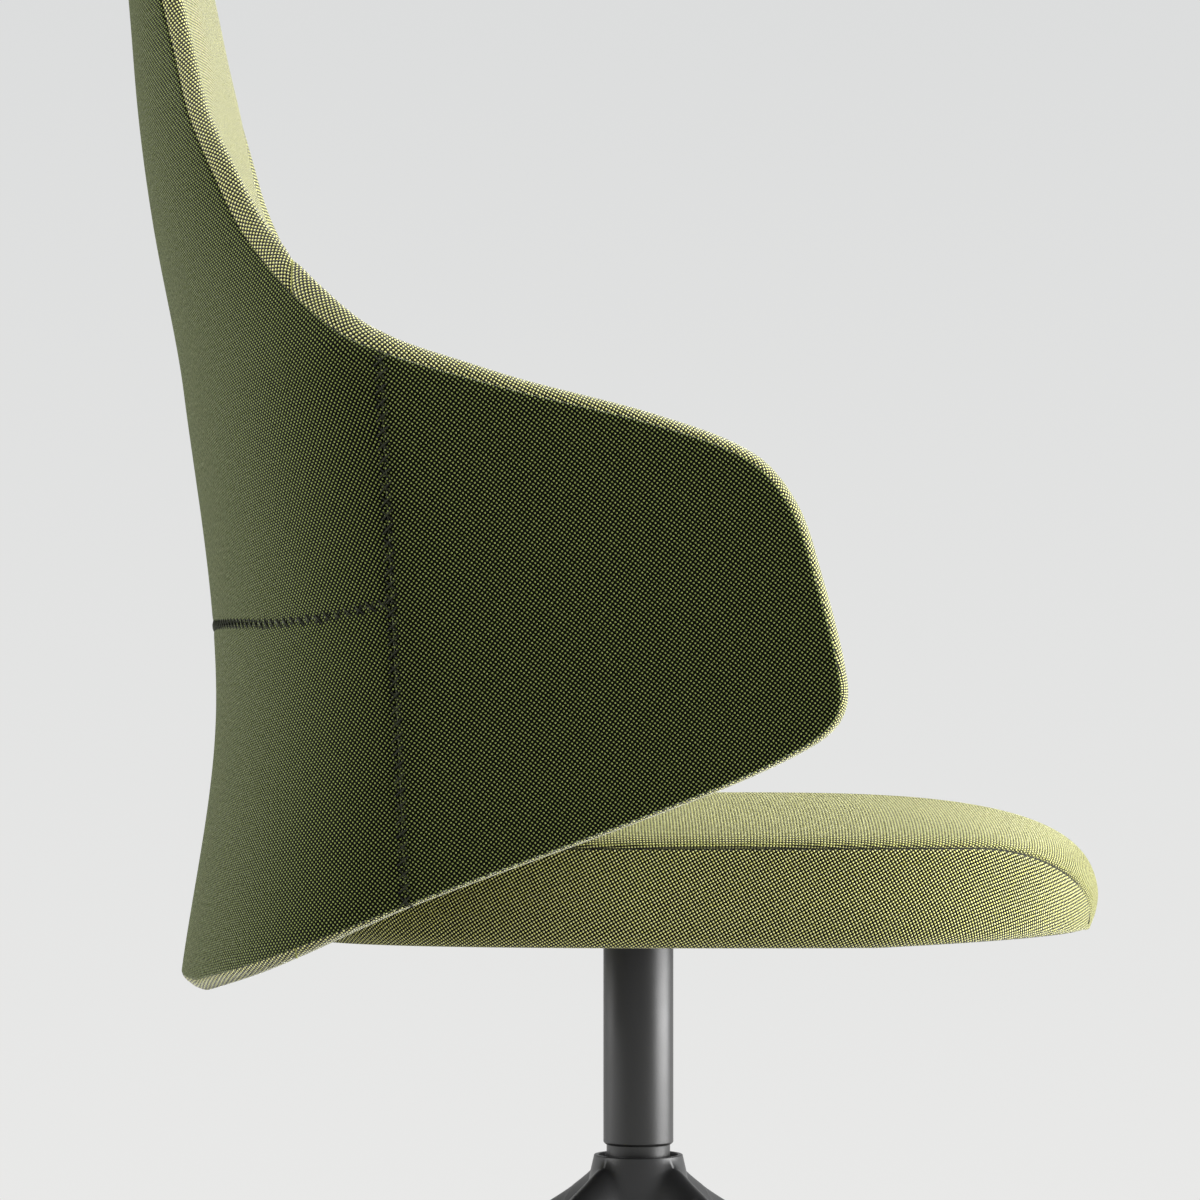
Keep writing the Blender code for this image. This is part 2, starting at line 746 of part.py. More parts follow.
def seat_solid(name, inset, low, high, surface):
    tip = (0.0, SEAT_CENTRE, SEAT_CROWN - inset)
    whole = make_object(name, ring_solid(name, seat_rings(inset), tip=tip), surface)
    if low > SEAT_BOTTOM:
        shape_with(whole, block((-CUT_REACH, -CUT_REACH, 0.0), (CUT_REACH, CUT_REACH, low)))
    if high < SEAT_CROWN:
        shape_with(whole, block((-CUT_REACH, -CUT_REACH, high), (CUT_REACH, CUT_REACH, CUT_REACH)))
    return whole


def seat_top_panel():
    shape = bmesh.new()
    rims = []
    for inset in (0.0, SKIN):
        rings = seat_rings(inset)[len(SIDE_LEVELS) - 1:]
        loops = [[shape.verts.new(point) for point in ring] for ring in rings]
        for first, second in zip(loops, loops[1:]):
            add_strip(shape, first, second, closed=True)
        add_fan(shape, loops[-1], (0.0, SEAT_CENTRE, SEAT_CROWN - inset))
        rims.append(loops[0])
    add_strip(shape, *rims, closed=True)
    return make_object("seat_top_panel", mesh_from(shape, "seat_top_panel"), INNER_CLOTH)


# Side band of the seat cover, from one front corner round the rear to the other.
def seat_side_band():
    seams = [seam_height(SEAT_CENTRE + seat_outline(angle, 0.0)[1]) for angle in SEAT_ANGLES]
    steps = [index for index, seam in enumerate(seams) if seam > SEAT_BOTTOM + BAND_LEAST]
    grids = []
    for inset in (0.0, SKIN):
        rows = []
        for level, ring in zip(SIDE_LEVELS, seat_rings(inset)):
            tuck = GAP if level == SIDE_LEVELS[-1] else 0.0
            rows.append([(ring[i][0], ring[i][1], ring[i][2] - tuck) for i in steps])
        grids.append(rows)
    band = make_object("seat_side_band", sheet_solid("seat_side_band", *grids), INNER_CLOTH)
    cut_bracket_slots(band)
    return band


def cut_bracket_slots(target):
    top = BOARD_BOTTOM
    low = top - GAP - BRACKET_THICKNESS - GAP
    for side in (-1, 1):
        left = side * BRACKET_SPREAD - BRACKET_WIDTH / 2 - GAP
        right = side * BRACKET_SPREAD + BRACKET_WIDTH / 2 + GAP
        shape_with(target, block((left, BRACKET_START, low), (right, CUT_REACH, top)))


def corner_places(pitch_x, pitch_y, middle=0.0):
    return [(x * pitch_x / 2, middle + y * pitch_y / 2) for x in (-1, 1) for y in (-1, 1)]


PLATE_BOLTS = corner_places(PLATE_BOLT_PITCH, PLATE_BOLT_PITCH)
TRAY_SCREW_X = 2 * (SEAT_HALF_WIDTH - TRAY_SCREW_INSETS[0])
TRAY_SCREW_Y = SEAT_FRONT + SEAT_REAR - 2 * TRAY_SCREW_INSETS[1]
TRAY_SCREWS = corner_places(TRAY_SCREW_X, TRAY_SCREW_Y, SEAT_CENTRE)
BOARD_BOLTS = [(side * BRACKET_SPREAD, depth) for side in (-1, 1) for depth in BOARD_BOLT_DEPTHS]


def seat_foam():
    foam = seat_solid("seat_foam", SKIN + GAP, BOARD_TOP + GAP, SEAT_CROWN, FOAM)
    shape_with(foam, rod(SOCKET_RADIUS + GAP, 0.0, SOCKET_TOP + GAP, (0.0, 0.0), ROUND))
    for place in PLATE_BOLTS:
        top = BOARD_TOP + GAP + NUT_FLANGE + GAP
        shape_with(foam, rod(NUT_FLANGE_RADIUS + GAP, 0.0, top, place))
    return foam


def seat_board():
    board = seat_solid("seat_board", SKIN + GAP, BOARD_BOTTOM, BOARD_TOP, PLYWOOD)
    shape_with(board, rod(SOCKET_RADIUS + GAP, 0.0, CUT_REACH, (0.0, 0.0), ROUND))
    for place in PLATE_BOLTS:
        shape_with(board, rod(PLATE_BOLT_RADIUS + GAP + NUT_WALL + GAP, 0.0, CUT_REACH, place))
    for place in BOARD_BOLTS + TRAY_SCREWS:
        shape_with(board, rod(BOLT_RADIUS + GAP, 0.0, CUT_REACH, place))
    return board


# Moulded tray that closes the underside, with a rim and four screw bosses up to the board.
def underside_cover():
    top = SEAT_BOTTOM + TRAY_DEPTH
    tray = seat_solid("underside_cover", SKIN + GAP, SEAT_BOTTOM, top, BLACK_PLASTIC)
    hollow = seat_solid("tool", SKIN + GAP + TRAY_FLOOR, SEAT_BOTTOM + TRAY_FLOOR, SEAT_CROWN, STEEL)
    shape_with(tray, hollow)
    for place in TRAY_SCREWS:
        low = SEAT_BOTTOM + TRAY_FLOOR / 2
        shape_with(tray, rod(TRAY_BOSS_RADIUS, low, top, place), "UNION")
        shape_with(tray, rod(BOLT_RADIUS + GAP, 0.0, CUT_REACH, place))
        sink = SEAT_BOTTOM + HEAD_HEIGHT + GAP
        shape_with(tray, rod(BOLT_RADIUS * HEAD_RADIUS_RATIO + GAP, 0.0, sink, place))
    shape_with(tray, rod(COLUMN_OPENING, 0.0, CUT_REACH, (0.0, 0.0), ROUND))
    cut_bracket_slots(tray)
    return tray


# Button-head bolt along +Z, with its head's seat at height 0.
def bolt_mesh(name, radius, length):
    head = radius * HEAD_RADIUS_RATIO
    profile = [(radius, length), (radius, 0.0), (head, 0.0), (head, -HEAD_HEIGHT * HEAD_EDGE_SHARE)]
    profile.append((head * HEAD_TOP_SHARE, -HEAD_HEIGHT))
    return turned(name, profile, steps=BOLT_ROUND)


def place_bolt(name, radius, length, place, along_y=False):
    bolt = make_object(name, bolt_mesh(name, radius, length), ZINC)
    bolt.location = place
    if along_y:
        bolt.rotation_euler = (-QUARTER, 0.0, 0.0)
    return bolt


def plate_fasteners():
    made = []
    for number, (x, y) in enumerate(PLATE_BOLTS, 1):
        under = PLATE_BOTTOM - GAP
        made.append(place_bolt(f"plate_bolt_{number}", PLATE_BOLT_RADIUS, PLATE_BOLT_LENGTH, (x, y, under)))
        inner = PLATE_BOLT_RADIUS + GAP
        outer = inner + NUT_WALL
        profile = [(inner, BOARD_BOTTOM), (outer, BOARD_BOTTOM), (outer, BOARD_TOP + GAP)]
        flange = BOARD_TOP + GAP
        profile += [(NUT_FLANGE_RADIUS, flange), (NUT_FLANGE_RADIUS, flange + NUT_FLANGE)]
        profile.append((inner, flange + NUT_FLANGE))
        name = f"tee_nut_{number}"
        nut = make_object(name, turned(name, profile, joined=True, steps=BOLT_ROUND), ZINC)
        nut.location = (x, y, 0.0)
        made.append(nut)
    for number, (x, y) in enumerate(TRAY_SCREWS, 1):
        length = TRAY_DEPTH + BOARD_THICKNESS / 2 - HEAD_HEIGHT
        place = (x, y, SEAT_BOTTOM + HEAD_HEIGHT)
        made.append(place_bolt(f"tray_screw_{number}", BOLT_RADIUS, length, place))
    return made


def mounting_plate():
    centre = PLATE_BOLT_PITCH / 2 + PLATE_EDGE - PLATE_CORNER
    ring = []
    for quarter in range(4):
        for step in range(4):
            angle = QUARTER * (quarter + step / 3)
            middle_x = math.copysign(centre, math.cos(QUARTER * (quarter + 0.5)))
            middle_y = math.copysign(centre, math.sin(QUARTER * (quarter + 0.5)))
            x = middle_x + PLATE_CORNER * math.cos(angle)
            ring.append((x, middle_y + PLATE_CORNER * math.sin(angle)))
    rings = [[(x, y, z) for x, y in ring] for z in (PLATE_BOTTOM, PLATE_BOTTOM + PLATE_THICKNESS)]
    plate = make_object("mounting_plate", ring_solid("mounting_plate", rings), POWDER_COAT)
    shape_with(plate, rod(SOCKET_RADIUS + GAP, 0.0, CUT_REACH, (0.0, 0.0), ROUND))
    for place in PLATE_BOLTS:
        shape_with(plate, rod(PLATE_BOLT_RADIUS + GAP, 0.0, CUT_REACH, place))
    return plate


# Bent steel strap under the seat board and up the face of the core boss.
def bracket(name, side):
    top = BOARD_BOTTOM - GAP
    low = top - BRACKET_THICKNESS
    back = BOSS_FACE - GAP
    front = back - BRACKET_THICKNESS
    centre_y = front - BRACKET_BEND
    centre_z = top + BRACKET_BEND
    outline = [(BRACKET_START, top), (BRACKET_START, low)]
    for radius, order in ((BRACKET_BEND + BRACKET_THICKNESS, 1), (BRACKET_BEND, -1)):
        arc = [-QUARTER + QUARTER * step / 4 for step in range(5)][::order]
        outline += [(centre_y + radius * math.cos(a), centre_z + radius * math.sin(a)) for a in arc]
        if order == 1:
            outline += [(back, BRACKET_TOP), (front, BRACKET_TOP)]
    edges = [side * BRACKET_SPREAD + half * BRACKET_WIDTH / 2 for half in (-1, 1)]
    rings = [[(x, y, z) for y, z in outline] for x in edges]
    made = make_object(name, ring_solid(name, rings), POWDER_COAT)
    for depth in BOARD_BOLT_DEPTHS:
        hole = rod(BOLT_RADIUS + GAP, 0.0, top + GAP, (side * BRACKET_SPREAD, depth))
        shape_with(made, hole)
    for height in CORE_BOLT_HEIGHTS:
        shape_with(made, rod_along_y(BOLT_RADIUS + GAP, 0.0, CUT_REACH, side * BRACKET_SPREAD, height))
    return made


def brackets():
    made = []
    for word, side in (("right", -1), ("left", 1)):
        made.append(bracket(f"{word}_back_bracket", side))
        under = BOARD_BOTTOM - GAP - BRACKET_THICKNESS - GAP
        face = BOSS_FACE - GAP - BRACKET_THICKNESS - GAP
        x = side * BRACKET_SPREAD
        for number, depth in enumerate(BOARD_BOLT_DEPTHS, 1):
            name = f"{word}_board_bolt_{number}"
            made.append(place_bolt(name, BOLT_RADIUS, BOLT_LENGTH, (x, depth, under)))
        for number, height in enumerate(CORE_BOLT_HEIGHTS, 1):
            name = f"{word}_core_bolt_{number}"
            made.append(place_bolt(name, BOLT_RADIUS, BOLT_LENGTH, (x, face, height), along_y=True))
    return made


def spindle():
    shoulder = TUBE_BOTTOM + TUBE_FLOOR + GAP + THRUST_WASHER + GAP
    profile = [(SPINDLE_TIP, SOCKET_TOP - GAP), (SPINDLE_RADIUS, SOCKET_BOTTOM), (SPINDLE_RADIUS, shoulder)]
    profile += [(STUB_RADIUS, shoulder), (STUB_RADIUS, STUB_BOTTOM)]
    return make_object("spindle", turned("spindle", profile), STEEL)


def plate_socket():
    profile = [(SPINDLE_RADIUS + GAP, SOCKET_BOTTOM), (SOCKET_RADIUS, SOCKET_BOTTOM)]
    profile += [(SOCKET_RADIUS, SOCKET_TOP), (SPINDLE_TIP + GAP, SOCKET_TOP)]
    return make_object("plate_socket", turned("plate_socket", profile, joined=True), POWDER_COAT)


def column_tube():
    bore = TUBE_RADIUS - TUBE_WALL
    floor = TUBE_BOTTOM + TUBE_FLOOR
    stub_hole = STUB_RADIUS + 2 * GAP
    bore_step = TUBE_STEP + 2 * TUBE_WALL
    profile = [(bore, TUBE_TOP), (TUBE_RADIUS, TUBE_TOP), (TUBE_RADIUS, TUBE_STEP + TUBE_CHAMFER)]
    profile += [(TUBE_RADIUS - TUBE_CHAMFER, TUBE_STEP), (NECK_RADIUS, TUBE_STEP)]
    profile.append((NECK_RADIUS, RECESS_FLOOR))
    profile += [(NECK_END_RADIUS, TUBE_BOTTOM), (stub_hole, TUBE_BOTTOM), (stub_hole, floor)]
    profile += [(NECK_BORE, floor), (NECK_BORE, bore_step), (bore, bore_step)]
    return make_object("column_tube", turned("column_tube", profile, joined=True), POWDER_COAT)


def column_inner_pieces():
    floor = TUBE_BOTTOM + TUBE_FLOOR
    bore = TUBE_RADIUS - TUBE_WALL
    inner = SPINDLE_RADIUS + GAP
    flange = TUBE_TOP + GAP
    bush_end = TUBE_TOP - UPPER_BUSH_LENGTH
    rim = TUBE_RADIUS - FLANGE_INSET
    upper = [(inner, bush_end), (bore - GAP, bush_end), (bore - GAP, flange)]
    upper += [(rim, flange), (rim, flange + BUSH_FLANGE), (inner, flange + BUSH_FLANGE)]
    rise = floor + LOWER_BUSH_RISE
    lower = sleeve_profile(inner, NECK_BORE - GAP, rise, rise + LOWER_BUSH_LENGTH)
    stub = STUB_RADIUS + GAP
    washer = sleeve_profile(stub, NECK_BORE - GAP, floor + GAP, floor + GAP + THRUST_WASHER)
    under = TUBE_BOTTOM - GAP
    keeper = sleeve_profile(stub, KEEPER_RADIUS, under - KEEPER_THICKNESS, under)
    under -= KEEPER_THICKNESS + GAP
    clip = sleeve_profile(stub, CLIP_RADIUS, under - CLIP_THICKNESS, under)
    pieces = (
        ("upper_bush", upper, ACETAL),
        ("lower_bush", lower, ACETAL),
        ("thrust_washer", washer, ACETAL),
        ("retaining_washer", keeper, ZINC),
        ("retaining_clip", clip, STEEL),
    )
    return [make_object(name, turned(name, line, joined=True), surface) for name, line, surface in pieces]


# Half width of one arm at its lower edge: a web that runs out along a straight taper.
def arm_half_width(along):
    web = WEB_REACH * DIAGONAL
    taper = ARM_ROOT_HALF + (ARM_TIP_HALF - ARM_ROOT_HALF) * (along - web) / (BASE_REACH - web)
    spare = web - ARM_ROOT_HALF
    return taper + spare * math.exp(-(along - web) / spare)


# One line of points across an arm, (along, across, height), from one lower edge to the other.
# Inside the web it is an arc from diagonal to diagonal of the base.
def arm_station(place, underside):
    root = COLLAR_FOOT_RADIUS * DIAGONAL
    web = WEB_REACH * DIAGONAL
    wall = ARM_WALL if underside else 0.0
    past_web = max(place - web, 0.0)
    part = min((place - root) / (web - root), 1.0)
    fade = math.exp(-past_web / WEB_FADE)
    nose = max((place - BASE_REACH + NOSE) / NOSE, 0.0)
    line = []
    for step in range(ARM_STEPS + 1):
        share = 2 * step / ARM_STEPS - 1
        if past_web > 1e-9:
            half = (arm_half_width(place) - wall) * math.sqrt(1 - NOSE_ROUNDING * nose * nose)
            bow = (WEB_REACH - web - wall) * fade
            along = place + (1 - share * share) * bow
            across = share * half
            edge = lower_edge(place)
        else:
            radius = place / DIAGONAL - wall * part
            along = radius * math.cos(share * math.pi / 4)
            across = radius * math.sin(share * math.pi / 4)
            edge = COLLAR_FOOT + (lower_edge(web) - COLLAR_FOOT) * part ** WEB_CURVE
        ridge = ridge_line(math.hypot(along, across)) - NOSE_DROP * nose * nose
        flank = 1 - abs(share) ** ARM_SQUARENESS
        flank += (math.cos(share * QUARTER) ** 2 - flank) * fade
        height = edge + (ridge - edge) * flank
        if underside and past_web > 1e-9:
            hollow = place < GLIDE_REACH - GLIDE_RADIUS and abs(share) < 1
            height = max(edge, height - ARM_WALL) if hollow else edge
        elif underside:
            height -= ARM_WALL * (2 - part) if part < 1 or abs(share) < 1 else 0.0
        line.append((along, across, height))
    return line


def base_casting():
    root = COLLAR_FOOT_RADIUS * DIAGONAL
    web = WEB_REACH * DIAGONAL
    inside = [root + (web - root) * step / WEB_STATIONS for step in range(1, WEB_STATIONS + 1)]
    shares = [(step / ARM_STATIONS) ** STATION_CURVE for step in range(1, ARM_STATIONS + 1)]
    outside = [web + (BASE_REACH - NOSE - web) * share for share in shares]
    outside += [BASE_REACH - NOSE * left for left in NOSE_SHARES]
    hub = [(NECK_END_RADIUS + GAP, HUB_BOTTOM), (NECK_RADIUS + GAP, RECESS_FLOOR)]
    hub += [(RECESS_RADIUS, RECESS_FLOOR), (RECESS_RADIUS, HUB_TOP)]
    hub += [(COLLAR_RADIUS - RIM_ROUND, HUB_TOP), (COLLAR_RADIUS, HUB_TOP - RIM_ROUND)]
    under = [(BOSS_RADIUS, COLLAR_FOOT - 3 * ARM_WALL), (BOSS_RADIUS, HUB_BOTTOM)]
    shape = bmesh.new()
    for turn in ARM_TURNS:

        def placed(line):
            spots = []
            for along, across, height in line:
                x = along * math.cos(turn) - across * math.sin(turn)
                y = along * math.sin(turn) + across * math.cos(turn)
                spots.append(shape.verts.new((x, y, height)))
            return spots

        def arc(radius, height):
            angles = [math.pi / 4 * (2 * step / ARM_STEPS - 1) for step in range(ARM_STEPS + 1)]
            return placed([(radius * math.cos(a), radius * math.sin(a), height) for a in angles])

        lines = [arc(*spot) for spot in hub]
        tops = [placed(arm_station(place, False)) for place in [root] + inside + outside]
        unders = [placed(arm_station(place, True)) for place in inside + outside]
        lines += tops + unders[::-1] + [arc(*spot) for spot in under]
        for first, second in zip(lines, lines[1:] + lines[:1]):
            add_strip(shape, first, second)
        for end in (0, -1):
            upper = [line[end] for line in tops[len(inside):]]
            lower = [line[end] for line in unders[len(inside) - 1:]]
            add_strip(shape, upper, lower)
    casting = make_object("base_casting", mesh_from(shape, "base_casting"), POWDER_COAT)
    for x, y in GLIDE_PLACES:
        shape_with(casting, rod(STEM_RADIUS + GAP, 0.0, STEM_TOP + GAP, (x, y)))
    return casting


def glides():
    made = []
    for number, (x, y) in enumerate(GLIDE_PLACES, 1):
        low = STEM_TOP - STEM_LENGTH
        name = f"glide_stem_{number}"
        mesh = turned(name, [(STEM_RADIUS, low), (STEM_RADIUS, STEM_TOP)], steps=BOLT_ROUND)
        stem = make_object(name, mesh, ZINC)
        name = f"glide_foot_{number}"
        hole = STEM_RADIUS + GAP
        small = GLIDE_RADIUS - GLIDE_ROUND
        profile = [(small, 0.0), (GLIDE_RADIUS, GLIDE_ROUND)]
        profile += [(GLIDE_RADIUS, GLIDE_HEIGHT - GLIDE_ROUND), (small, GLIDE_HEIGHT)]
        profile += [(hole, GLIDE_HEIGHT), (hole, low - GAP)]
        foot = make_object(name, turned(name, profile, steps=2 * BOLT_ROUND), BLACK_PLASTIC)
        for piece in (stem, foot):
            piece.location = (x, y, 0.0)
            made.append(piece)
    return made


# Each moving body hangs from an empty on the column axis.
def hang(name, pieces):
    frame = bpy.data.objects.new(name, None)
    bpy.context.scene.collection.objects.link(frame)
    frame.location = (0.0, AXIS_Y, 0.0)
    for piece in pieces:
        piece.parent = frame


standing = [base_casting(), column_tube()] + column_inner_pieces() + glides()
turning = [spindle(), plate_socket(), mounting_plate(), seat_board(), underside_cover()]
turning += [seat_foam(), seat_top_panel(), seat_side_band()]
turning += plate_fasteners() + brackets()
turning += [shell_core()] + shell_covers() + shell_pads()
hang("base_frame", standing)
hang("swivel_frame", turning)
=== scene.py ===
import bisect
import math

import bmesh
import bpy
import numpy
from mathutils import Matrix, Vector, kdtree


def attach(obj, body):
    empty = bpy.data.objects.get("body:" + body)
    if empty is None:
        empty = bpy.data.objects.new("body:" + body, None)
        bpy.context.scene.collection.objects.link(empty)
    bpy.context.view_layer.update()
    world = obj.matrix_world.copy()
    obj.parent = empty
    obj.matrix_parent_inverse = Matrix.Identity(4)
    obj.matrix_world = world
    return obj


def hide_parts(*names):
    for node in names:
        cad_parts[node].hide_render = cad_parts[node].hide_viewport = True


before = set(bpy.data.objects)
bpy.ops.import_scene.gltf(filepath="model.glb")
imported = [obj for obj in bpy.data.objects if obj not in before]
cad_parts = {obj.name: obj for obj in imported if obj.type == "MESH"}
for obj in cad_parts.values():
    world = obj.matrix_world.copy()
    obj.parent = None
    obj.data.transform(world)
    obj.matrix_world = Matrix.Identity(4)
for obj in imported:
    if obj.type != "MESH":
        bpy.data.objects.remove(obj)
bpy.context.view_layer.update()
print("frame:", len(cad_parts), "nodes")

axisY = -0.029  # column axis; every depth below is measured from it
quarterTurn = math.pi / 2
noiseLow, noiseHigh = 0.3, 0.7  # most of a noise's values lie between these


# sRGB hex code to linear colour
def linear(code):
    parts = [int(code[i:i + 2], 16) / 255 for i in (0, 2, 4)]
    return [p / 12.92 if p <= 0.04045 else ((p + 0.055) / 1.055) ** 2.4 for p in parts] + [1.0]


# Adds a node, sets its properties, then fills its inputs with values or links
def addNode(tree, kind, inputs, **settings):
    made = tree.nodes.new(kind)
    for name, value in settings.items():
        setattr(made, name, value)
    for key, value in inputs.items():
        if isinstance(value, bpy.types.NodeSocket):
            tree.links.new(value, made.inputs[key])
        else:
            made.inputs[key].default_value = value
    return made


def startMaterial(name):
    made = bpy.data.materials.new(name)
    made.use_nodes = True
    return made, made.node_tree, made.node_tree.nodes["Principled BSDF"]


# Plain-woven wool in two yarns, loom-woven: pale yarn crowns stand as dots between near-black
# ones, and loose fibres brighten the cloth where it turns away. The yarns lie 1.5 to 1.6 mm apart.
yarn = {
    "crown": 0.0007,
    "wander": 0.0009,
    "wanderScale": 32.0,  # threads wander over about 30 mm
    "toneScale": 0.23,  # tone changes from one yarn crown to the next
    "fibreScale": 1.1,
    "fibreShare": 0.35,
    "tuftScale": 400.0,  # loose fibres lie in tufts of 2 to 3 mm
    "tuftSpread": (0.4, 1.6),
}
oliveWool = {
    "pitch": 0.00162,
    "pale": "7E8C46",
    "worn": "9AA660",
    "dark": "020203",
    "dot": (0.23, 0.70),  # where the pale crown starts and where it is full, of its height
    "fuzz": "C6CCB2",
    "fuzzAmount": 0.88,
    "fuzzSpread": 0.35,
}
strawWool = {
    "pitch": 0.00147,
    "pale": "E6E582",
    "worn": "F5F5AE",
    "dark": "060708",
    "dot": (0.11, 0.54),
    "fuzz": "FAFAE4",
    "fuzzAmount": 0.66,
    "fuzzSpread": 0.38,
}
# The same cloth on the pads, drawn tight over the rim, and on the seat top, whose copy has darker pale
# yarns and a yellower sheen: painted shade that tones the top down where the lamps light it strongly
padWool = {**strawWool, "pitch": 0.0016, "fuzz": "FCFCF0", "fuzzAmount": 0.72, "fuzzSpread": 0.46}
shadedSeatWool = {**strawWool, "pale": "D3D27A", "worn": "E2E2A0", "fuzz": "F0F0C4", "fuzzSpread": 0.46}


def wovenWool(name, wool, turn):
    made, tree, shader = startMaterial(name)
    place = addNode(tree, "ShaderNodeTexCoord", {}).outputs["UV"]
    drift = {"Vector": place, "Scale": yarn["wanderScale"], "Detail": 1.0}
    drift = addNode(tree, "ShaderNodeTexNoise", drift).outputs["Color"]
    centred = addNode(tree, "ShaderNodeVectorMath", {0: drift, 1: [0.5] * 3}, operation="SUBTRACT")
    wander = {0: centred.outputs[0], 1: [yarn["wander"]] * 3, 2: place}
    wander = addNode(tree, "ShaderNodeVectorMath", wander, operation="MULTIPLY_ADD")
    lay = {"Vector": wander.outputs[0], "Rotation": (0, 0, math.radians(turn))}
    lay["Scale"] = [math.pi / wool["pitch"]] * 3
    laid = addNode(tree, "ShaderNodeMapping", lay)
    split = addNode(tree, "ShaderNodeSeparateXYZ", {0: laid.outputs[0]})
    warp = addNode(tree, "ShaderNodeMath", {0: split.outputs["X"]}, operation="SINE")
    weft = addNode(tree, "ShaderNodeMath", {0: split.outputs["Y"]}, operation="SINE")
    both = {0: warp.outputs[0], 1: weft.outputs[0]}
    crossing = addNode(tree, "ShaderNodeMath", both, operation="MULTIPLY")
    dot = addNode(
        tree,
        "ShaderNodeMapRange",
        {"Value": crossing.outputs[0], "From Min": wool["dot"][0], "From Max": wool["dot"][1]},
        interpolation_type="SMOOTHSTEP",
    )
    tone = {"Vector": laid.outputs[0], "Scale": yarn["toneScale"], "Detail": 2.0}
    tone = addNode(tree, "ShaderNodeTexNoise", tone).outputs[0]
    toneSpread = {"Value": tone, "From Min": noiseLow, "From Max": noiseHigh}
    toneSpread = addNode(tree, "ShaderNodeMapRange", toneSpread)
    pale = addNode(
        tree,
        "ShaderNodeMix",
        {"Factor": toneSpread.outputs[0], "A": linear(wool["pale"]), "B": linear(wool["worn"])},
        data_type="RGBA",
    )
    cloth = addNode(
        tree,
        "ShaderNodeMix",
        {"Factor": dot.outputs[0], "A": linear(wool["dark"]), "B": pale.outputs["Result"]},
        data_type="RGBA",
    )
    crowns = addNode(tree, "ShaderNodeMath", {0: crossing.outputs[0]}, operation="ABSOLUTE")
    fibres = {"Vector": laid.outputs[0], "Scale": yarn["fibreScale"], "Detail": 2.0}
    fibres = addNode(tree, "ShaderNodeTexNoise", fibres)
    height = {0: fibres.outputs[0], 1: yarn["fibreShare"], 2: crowns.outputs[0]}
    height = addNode(tree, "ShaderNodeMath", height, operation="MULTIPLY_ADD").outputs[0]
    relief = {"Strength": 0.55, "Distance": yarn["crown"], "Height": height}
    bump = addNode(tree, "ShaderNodeBump", relief)
    tree.links.new(cloth.outputs["Result"], shader.inputs["Base Color"])
    tree.links.new(bump.outputs[0], shader.inputs["Normal"])
    shader.inputs["Roughness"].default_value = 0.92
    shader.inputs["Specular IOR Level"].default_value = 0.04
    tuft = {"Vector": place, "Scale": yarn["tuftScale"], "Detail": 3.0}
    tuft = addNode(tree, "ShaderNodeTexNoise", tuft).outputs[0]
    least, most = [wool["fuzzAmount"] * share for share in yarn["tuftSpread"]]
    fuzziness = addNode(
        tree,
        "ShaderNodeMapRange",
        {"Value": tuft, "From Min": noiseLow, "From Max": noiseHigh, "To Min": least, "To Max": most},
    )
    tree.links.new(fuzziness.outputs[0], shader.inputs["Sheen Weight"])
    shader.inputs["Sheen Roughness"].default_value = wool["fuzzSpread"]
    shader.inputs["Sheen Tint"].default_value = linear(wool["fuzz"])
    return made


# Each cloth is laid with its yarns turned by so many degrees
outerSide = wovenWool("woven wool, olive and black", oliveWool, 9.0)
outerBack = wovenWool("woven wool, olive and black, back", oliveWool, 8.0)
innerSide = wovenWool("woven wool, straw and black", strawWool, 16.0)
innerTop = wovenWool("woven wool, straw and black, pads", padWool, 45.0)
# The seat top's cloth is a darker copy of the straw wool: painted shade for the strongly lit top
shadedSeatCloth = wovenWool("woven wool, straw and black, shaded seat top", shadedSeatWool, 45.0)


# Powder coat, sprayed and baked: a satin skin with a faint orange-peel ripple of about 1.5 mm
# and soft clouds of dust about 70 mm wide.
def powderCoat(name, colour, dusty):
    made, tree, shader = startMaterial(name)
    place = addNode(tree, "ShaderNodeTexCoord", {}).outputs["Object"]
    peel = addNode(tree, "ShaderNodeTexNoise", {"Vector": place, "Scale": 650.0, "Detail": 2.0})
    cloud = addNode(tree, "ShaderNodeTexNoise", {"Vector": place, "Scale": 14.0, "Detail": 4.0})
    tint = addNode(
        tree,
        "ShaderNodeMix",
        {"Factor": cloud.outputs[0], "A": linear(colour), "B": linear(dusty)},
        data_type="RGBA",
    )
    rough = addNode(
        tree,
        "ShaderNodeMapRange",
        {
            "Value": cloud.outputs[0],
            "From Min": noiseLow,
            "From Max": noiseHigh,
            "To Min": 0.36,
            "To Max": 0.46,
        },
    )
    relief = {"Strength": 0.25, "Distance": 0.0002, "Height": peel.outputs[0]}
    bump = addNode(tree, "ShaderNodeBump", relief)
    tree.links.new(tint.outputs["Result"], shader.inputs["Base Color"])
    tree.links.new(rough.outputs[0], shader.inputs["Roughness"])
    tree.links.new(bump.outputs[0], shader.inputs["Normal"])
    return made


columnCoat = powderCoat("powder coat, satin black column", "1E1E1E", "262625")
baseCoat = powderCoat("powder coat, satin black base", "1C1C1D", "242424")


